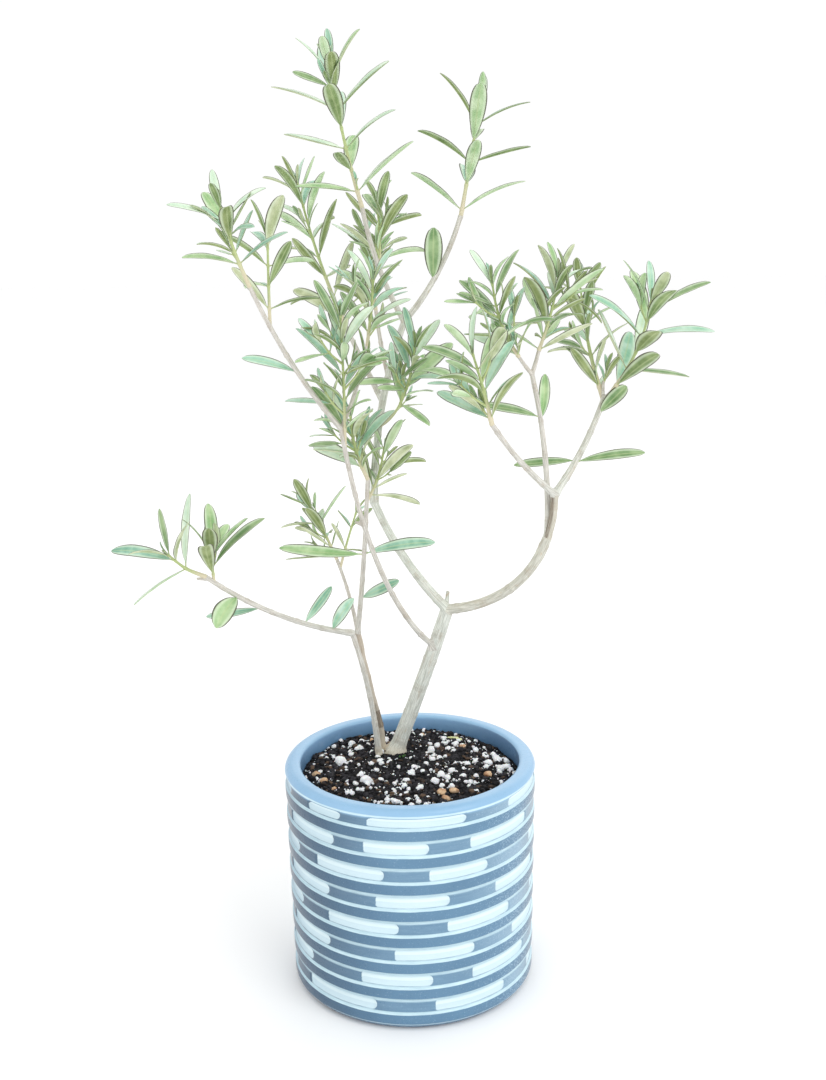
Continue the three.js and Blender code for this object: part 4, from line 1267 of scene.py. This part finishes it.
class Wire:
    """One output of a finish's nodes. Sums written with it add the nodes that work them out."""

    def __init__(self, finish, socket):
        self.finish = finish
        self.socket = socket

    def _joined(self, operation, *values):
        return self.finish.node("ShaderNodeMath", dict(enumerate(values)), operation=operation)

    def __add__(self, other):
        return self._joined("ADD", self, other)

    def __radd__(self, other):
        return self._joined("ADD", other, self)

    def __sub__(self, other):
        return self._joined("SUBTRACT", self, other)

    def __rsub__(self, other):
        return self._joined("SUBTRACT", other, self)

    def __mul__(self, other):
        return self._joined("MULTIPLY", self, other)

    def __mod__(self, other):
        return self._joined("FLOORED_MODULO", self, other)

    def wave(self):
        return self._joined("SINE", self)


class Finish:
    """A material with one shader, and short ways to the nodes that vary it over a surface."""

    def __init__(self, name, **constants):
        self.material = bpy.data.materials.new(name)
        self.material.use_nodes = True
        self.tree = self.material.node_tree
        self.shader = self.tree.nodes["Principled BSDF"]
        for socket, value in constants.items():
            self.shader.inputs[socket.replace("_", " ")].default_value = value

    def node(self, kind, inputs, output=0, **settings):
        made = self.tree.nodes.new(kind)
        for setting, value in settings.items():
            setattr(made, setting, value)
        for socket, value in inputs.items():
            if isinstance(value, Wire):
                self.tree.links.new(value.socket, made.inputs[socket])
            else:
                made.inputs[socket].default_value = value
        return Wire(self, made.outputs[output])

    def place(self):
        """The place on the object in millimetres."""
        where = self.node("ShaderNodeTexCoord", {}, "Object")
        return self.node("ShaderNodeVectorMath", {0: where, 3: 1 / MM}, operation="SCALE")

    def stretched(self, vector, *scales):
        return self.node("ShaderNodeVectorMath", {0: vector, 1: scales}, operation="MULTIPLY")

    def mark(self, name):
        """The three numbers that a mesh has under this name."""
        return self.parts(self.mark_vector(name))

    def mark_vector(self, name):
        return self.node("ShaderNodeAttribute", {}, "Vector", attribute_name=name)

    def parts(self, vector):
        made = self.tree.nodes.new("ShaderNodeSeparateXYZ")
        self.tree.links.new(vector.socket, made.inputs[0])
        return [Wire(self, output) for output in made.outputs]

    def noise(self, vector, scale, detail=3.0, roughness=0.55):
        inputs = {"Vector": vector, "Scale": scale, "Detail": detail, "Roughness": roughness}
        return self.node("ShaderNodeTexNoise", inputs)

    def cells(self, vector, scale):
        return self.node("ShaderNodeTexVoronoi", {"Vector": vector, "Scale": scale}, "Distance")

    def step(self, value, low, high):
        inputs = {"Value": value, "From Min": low, "From Max": high}
        return self.node("ShaderNodeMapRange", inputs, interpolation_type="SMOOTHSTEP")

    def blend(self, factor, first, second, how="MIX"):
        inputs = {0: factor, 6: first, 7: second}
        return self.node("ShaderNodeMix", inputs, 2, data_type="RGBA", blend_type=how)

    def layered(self, colour, *layers):
        """A colour with others laid over it, each as its mask, then red, green and blue."""
        for mask, *tone in layers:
            colour = self.blend(mask, colour, paint(*tone))
        return colour

    def bump(self, height, distance):
        return self.node("ShaderNodeBump", {"Height": height, "Distance": distance * MM})

    def feed(self, **wires):
        for socket, wire in wires.items():
            self.tree.links.new(wire.socket, self.shader.inputs[socket.replace("_", " ")])
        return self.material


def glaze_finish():
    """Blue-grey glaze, wiped back to a pale line along each ridge, nearly white in the dashes."""
    glaze = Finish("blue_grey_glaze", Coat_Roughness=0.06, IOR=1.4)
    where = glaze.place()
    distance, zone, _ = glaze.mark("dash")
    x, _, z = glaze.parts(where)
    cloud = glaze.noise(where, 0.035, 3)
    speck = glaze.noise(where, 1.1, 2)
    drift = glaze.noise(glaze.stretched(where, 0.09, 0.09, 0.9), 1, 4, 0.6)
    lowest = TOP_RIDGE_LEVEL - (RIDGE_COUNT - 0.5) * RIDGE_PITCH
    above = (z - lowest) % RIDGE_PITCH - RIDGE_PITCH / 2 + (drift - 0.5) * 0.5
    below = above * -1
    wiped = glaze.step(above, 2.9, 3.25) * (1 - glaze.step(above, 4.6, 5.0))
    wiped = wiped + glaze.step(below, 2.8, 3.3) * (1 - glaze.step(below, 4.6, 5.8)) * 0.85
    wiped = wiped * glaze.step(zone, 0.5, 0.3) * glaze.step(z, 3.0, 4.2)
    under_rim = glaze.step(z, 134.9, 135.4) * (1 - glaze.step(z, 136.2, 136.8))
    wiped = wiped + under_rim * glaze.step(zone, 1.5, 1.3)
    dash = glaze.step(distance + (drift - 0.5) * 0.5, 0.25, -0.25)
    side = x * (1 / POT_RADIUS)
    # Paler towards the right side: painted light, which adds pale speckle and paler bars there
    painted_light_right = glaze.step(side, 0.3, 0.95)
    between = glaze.step(above, 4.4, 5.6) + glaze.step(below, 4.4, 5.6)
    blue = glaze.layered(
        glaze.blend(cloud, paint(84, 120, 150), paint(102, 142, 172)),
        (glaze.step(speck + painted_light_right * 0.12, 0.62, 0.72) * (0.3 + painted_light_right * 0.5), 164, 192, 212),
        (between * (drift * 0.36 + painted_light_right * 0.55), 158, 188, 208),
    )
    # Darker towards the left side: painted shade
    painted_shade_left = glaze.step(side, -0.05, -0.9)
    blue = glaze.blend(painted_shade_left * 0.85, blue, paint(150, 158, 166), "MULTIPLY")
    # Darker at the far right edge: painted shade
    far = glaze.step(side, 0.8, 1.0)
    blue = glaze.blend(far * 0.9, blue, paint(168, 178, 186), "MULTIPLY")
    rim = glaze.blend(cloud, paint(134, 176, 209), paint(154, 193, 225))
    on_rim = glaze.step(zone, 0.2, 0.9)
    # The inside's glaze, darker lower down the inside and on its right side: painted shade
    well = glaze.blend(glaze.step(z, 130, 139), paint(106, 146, 184), paint(134, 174, 212))
    well = glaze.layered(well, (glaze.step(side, 0.3, 0.85) * 0.6, 70, 100, 136))
    blue = glaze.blend(on_rim, blue, rim)
    blue = glaze.blend(glaze.step(zone, 1.2, 1.8), blue, well)
    foot = 1 - glaze.step(z, 1.5, 4.0)
    blue = glaze.layered(blue, (foot * 0.45, 78, 98, 122))
    pale = glaze.blend(drift, paint(190, 221, 232), paint(214, 238, 245))
    white = glaze.blend(cloud, paint(212, 233, 240), paint(229, 245, 248))
    # Bluish at the top of each dash, under the ridge: painted shade
    white = glaze.layered(white, (glaze.step(below, 7.0, 5.6) * 0.3, 168, 202, 220))
    colour = glaze.blend(wiped * (0.75 + drift * 0.4), blue, pale)
    colour = glaze.blend(dash, colour, white)
    # More painted shade towards the left, mostly spared on the rim
    shade = (painted_shade_left * 0.25 + glaze.step(side, -0.8, -1.0) * 0.45) * (1 - on_rim * 0.8)
    colour = glaze.blend(shade, colour, paint(176, 190, 202), "MULTIPLY")
    rough = 0.24 + speck * 0.1 + dash * 0.12
    height = glaze.noise(where, 0.25, 2) * 0.6 + speck * 0.12 + drift * 0.25
    return glaze.feed(
        Base_Color=colour, Roughness=rough, Coat_Weight=0.22 - dash * 0.1,
        Normal=glaze.bump(height, 0.28),
    )


def peat_finish():
    peat = Finish("damp_peat", Specular_IOR_Level=0.25)
    where = peat.place()
    grain = peat.noise(where, 1.2, 5, 0.7)
    fibre = peat.noise(peat.stretched(where, 0.5, 2.6, 1.2), 1, 4, 0.7)
    colour = peat.blend(peat.step(grain, 0.35, 0.7), paint(9, 10, 12), paint(38, 37, 41))
    colour = peat.layered(colour, (peat.step(fibre, 0.66, 0.8), 78, 68, 60))
    bump = peat.bump(grain + peat.cells(where, 0.9) * 0.6, 0.9)
    return peat.feed(Base_Color=colour, Roughness=0.75 + grain * 0.25, Normal=bump)


def lump_finish(name, tones, grain, rough, bump, patch=None, fleck=None, **constants):
    """Lumps clouded from one tone to another.

    The grain is the three scales of a noise and how rough it is. The patch is the scale of
    another one, which deals out the tones, and where its step ends. The fleck is where its step
    on the grain starts and ends, then its colour.
    """
    lump = Finish(name, **constants)
    where = lump.place()
    *scales, roughness = grain
    fine = lump.noise(lump.stretched(where, *scales), 1, 4, roughness)
    cloud, end = (lump.noise(where, patch[0], 2), patch[1]) if patch else (fine, 0.7)
    colour = lump.blend(lump.step(cloud, 0.35, end), *(paint(*tone) for tone in tones))
    if fleck:
        start, end, *tone = fleck
        colour = lump.layered(colour, (lump.step(fine, start, end) * 0.5, *tone))
    least, more = rough
    return lump.feed(Base_Color=colour, Roughness=least + fine * more, Normal=lump.bump(fine, bump))


def crumb_finish():
    return lump_finish(
        "peat_crumb", tones=((9, 10, 12), (56, 55, 60)), grain=(2.4, 2.4, 2.4, 0.7),
        rough=(0.7, 0.3), bump=0.35, patch=(0.33, 0.68), fleck=(0.55, 0.8, 104, 96, 92),
        Specular_IOR_Level=0.25,
    )


def bark_bit_finish():
    return lump_finish(
        "bark_bit", tones=((36, 28, 26), (104, 84, 68)), grain=(3.0, 0.8, 2.0, 0.7),
        rough=(0.72, 0.2), bump=0.4, patch=(0.21, 0.65), fleck=(0.5, 0.8, 160, 134, 104),
        Specular_IOR_Level=0.3,
    )


def pebble_finish():
    return lump_finish(
        "tan_pebble", tones=((176, 128, 92), (216, 184, 146)), grain=(1.1, 1.1, 1.1, 0.65),
        rough=(0.42, 0.3), bump=0.15, patch=(0.18, 0.65), fleck=(0.5, 0.75, 136, 96, 76),
        Coat_Roughness=0.3,
    )


def chip_finish():
    return lump_finish(
        "dry_chip", tones=((208, 214, 150), (240, 241, 200)), grain=(0.5, 2.4, 2.4, 0.6),
        rough=(0.6, 0.2), bump=0.3, Specular_IOR_Level=0.3,
    )


def moss_finish():
    return lump_finish(
        "moss_tuft", tones=((44, 78, 40), (92, 132, 70)), grain=(2.2, 2.2, 2.2, 0.7),
        rough=(0.7, 0.2), bump=0.4, Specular_IOR_Level=0.3,
    )


def perlite_finish():
    grain = Finish("perlite_grain", Subsurface_Weight=0.08, Subsurface_Scale=0.001)
    where = grain.place()
    dust = grain.noise(where, 0.8, 4, 0.65)
    colour = grain.blend(grain.step(dust, 0.35, 0.7), paint(236, 240, 244), paint(254, 255, 255))
    bump = grain.bump(grain.cells(where, 1.6) + dust * 0.5, 0.35)
    return grain.feed(Base_Color=colour, Roughness=0.8 + dust * 0.15, Normal=bump)


def bark_finish():
    """Pale smooth bark with fine lengthwise lines, warmer on the young boughs."""
    bark = Finish("olive_bark", Specular_IOR_Level=0.35)
    grain = bark.mark_vector("grain")
    youth, pore, node = bark.mark("bark")
    brown, scar_and_shadow, foot = bark.mark("stain_and_shadow")
    line = bark.noise(bark.stretched(grain, 3.2, 3.2, 0.12), 1, 5, 0.65)
    fine = bark.noise(bark.stretched(grain, 5.5, 5.5, 0.6), 1, 3, 0.6)
    patch = bark.noise(bark.stretched(grain, 0.25, 0.25, 0.05), 1, 3)
    old = bark.blend(bark.step(line, 0.3, 0.7), paint(174, 178, 168), paint(242, 245, 237))
    young = bark.blend(bark.step(line, 0.3, 0.7), paint(174, 168, 159), paint(228, 224, 217))
    colour = bark.layered(
        bark.blend(youth, old, young),
        (bark.step(patch, 0.56, 0.74) * 0.3, 172, 150, 124),
        (bark.step(fine, 0.6, 0.75) * 0.3, 138, 128, 114),
        (pore * 0.5, 196, 176, 148),
        (node * 0.25, 150, 132, 110),
        (brown * 0.45, 178, 156, 126),
        (foot * 0.5, 196, 178, 150),
        # A dark scar on stem_left_back, and painted shadow along bough_right_rise where it lies
        # beside its neighbour
        (scar_and_shadow * bark.step(line, 0.35, 0.6) * 0.85, 96, 76, 58),
    )
    height = line * 0.7 + fine * 0.3
    return bark.feed(Base_Color=colour, Roughness=0.66 + line * 0.2, Normal=bark.bump(height, 0.3))


def shoot_finish():
    shoot = Finish("green_shoot", Specular_IOR_Level=0.4)
    age, _, _ = shoot.mark("shoot")
    fine = shoot.noise(shoot.place(), 1.6, 3, 0.6)
    wood = shoot.blend(fine, paint(196, 186, 156), paint(226, 218, 192))
    green = shoot.blend(fine, paint(168, 184, 124), paint(200, 210, 154))
    colour = shoot.blend(shoot.step(age + (fine - 0.5) * 0.3, 0.1, 0.5), wood, green)
    return shoot.feed(Base_Color=colour, Roughness=0.5 + fine * 0.25, Normal=shoot.bump(fine, 0.12))


UPPER_TINTS = {
    "fresh": (paint(138, 180, 120), paint(192, 217, 170)),
    "mint": (paint(144, 198, 168), paint(202, 229, 213)),
    "green": (paint(106, 142, 90), paint(156, 182, 134)),
    "pale": (paint(188, 217, 190), paint(224, 240, 220)),
    "sea": (paint(118, 169, 144), paint(170, 208, 186)),
}
UNDER_TINTS = {
    "fresh": (paint(166, 198, 148), paint(210, 228, 192)),
    "olive": (paint(120, 138, 80), paint(158, 172, 118)),
    "khaki": (paint(168, 180, 136), paint(212, 218, 184)),
    "moss": (paint(110, 134, 80), paint(152, 172, 118)),
}


def leaf_finish(name, dark, light, gloss=0.4, veins=0.1):
    """A blade's side: clouded, with faint side veins, a paler midrib, a painted highlight band
    inside the margin and a thin dark outline of painted shade along the margin.
    """
    leaf = Finish(name, Specular_IOR_Level=0.4)
    share, across, _ = leaf.mark("blade")
    where = leaf.place()
    cloud = leaf.noise(where, 0.11, 2)
    fine = leaf.noise(where, 2.2, 3, 0.6)
    vein = (share * 120 + across * 9).wave() * 0.5 + 0.5
    colour = leaf.blend(leaf.step(cloud + (fine - 0.5) * 0.2, 0.3, 0.7), dark, light)
    colour = leaf.layered(
        leaf.blend(vein * veins, colour, light),
        (leaf.step(across, 0.14, 0.05) * 0.4, 198, 212, 160),
        # Paler band inside the margin: painted highlight
        (leaf.step(across, 0.4, 0.72) * 0.5, 232, 243, 220),
        # Thin dark outline along the margin: painted shade
        (leaf.step(across, 0.79, 0.94) * 0.9, 84, 76, 58),
        (leaf.step(share, 0.1, 0.03), 182, 192, 140),
    )
    rough = gloss + fine * 0.18 + cloud * 0.08
    height = fine * 0.5 + vein * 0.25
    return leaf.feed(Base_Color=colour, Roughness=rough, Normal=leaf.bump(height, 0.08))


# Stage, light and camera
def floor_finish():
    floor = Finish("studio_floor")
    haze = floor.noise(floor.place(), 0.002, 2)
    colour = floor.blend(haze, paint(252, 252, 252), paint(254, 254, 254))
    return floor.feed(Base_Color=colour, Roughness=0.85 + haze * 0.1)


def build_stage():
    mesh = bpy.data.meshes.new("floor")
    half = FLOOR_HALF
    corners = [(-half, -half, 0), (half, -half, 0), (half, half, 0), (-half, half, 0)]
    mesh.from_pydata(corners, [], [(0, 1, 2, 3)])
    mesh.materials.append(floor_finish())
    floor = bpy.data.objects.new("floor", mesh)
    bpy.context.scene.collection.objects.link(floor)
    world = bpy.data.worlds.new("studio")
    bpy.context.scene.world = world
    world.use_nodes = True
    sky = world.node_tree.nodes["Background"]
    sky.inputs["Color"].default_value = (1, 1, 1, 1)
    sky.inputs["Strength"].default_value = WORLD_STRENGTH
    bpy.context.scene.view_settings.view_transform = "Standard"


def aim(thing, place, target, roll=0.0):
    """Stands a lamp or camera at a place, looking at a target along its own -Z."""
    back = unit(np.array(place, float) - np.array(target, float))
    right = unit(np.cross([0, 0, 1], back))
    up = np.cross(back, right)
    tilt = math.radians(roll)
    turned_right = right * math.cos(tilt) + up * math.sin(tilt)
    turned_up = up * math.cos(tilt) - right * math.sin(tilt)
    matrix = Matrix.Identity(4)
    for axis, vector in enumerate((turned_right, turned_up, back, np.array(place, float))):
        for row in range(3):
            matrix[row][axis] = vector[row]
    thing.matrix_world = matrix


def build_lights():
    for name, place, size, power in LAMPS:
        data = bpy.data.lights.new(name, "AREA")
        data.size = size
        data.energy = power
        lamp = bpy.data.objects.new(name, data)
        bpy.context.scene.collection.objects.link(lamp)
        aim(lamp, place, LAMP_TARGET)


def build_camera():
    data = bpy.data.cameras.new("camera")
    data.sensor_width = SENSOR_SIZE
    data.lens = FOCAL_PIXELS / PHOTO_HEIGHT * SENSOR_SIZE
    data.clip_end = 50
    camera = bpy.data.objects.new("camera", data)
    bpy.context.scene.collection.objects.link(camera)
    place = np.array(CAMERA_PLACE) * MM
    level = math.cos(math.radians(CAMERA_PITCH))
    yaw = math.radians(CAMERA_YAW)
    look = np.array([-math.sin(yaw) * level, math.cos(yaw) * level,
                     -math.sin(math.radians(CAMERA_PITCH))])
    aim(camera, place, place + look, CAMERA_ROLL)
    bpy.context.scene.camera = camera


def main():
    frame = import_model()
    foliage_names = [name for name in frame["nodes"] if name.startswith("foliage_")]
    leaf_names = [name for name in frame["nodes"] if name.startswith(("foliage_", "leaf_"))]
    plant = Plant()
    build_pot()
    build_soil()
    build_top_dressing()
    build_wood(plant)
    build_shoots(plant, foliage_names)
    build_leaves(plant, leaf_names)
    build_stage()
    build_lights()
    build_camera()


main()
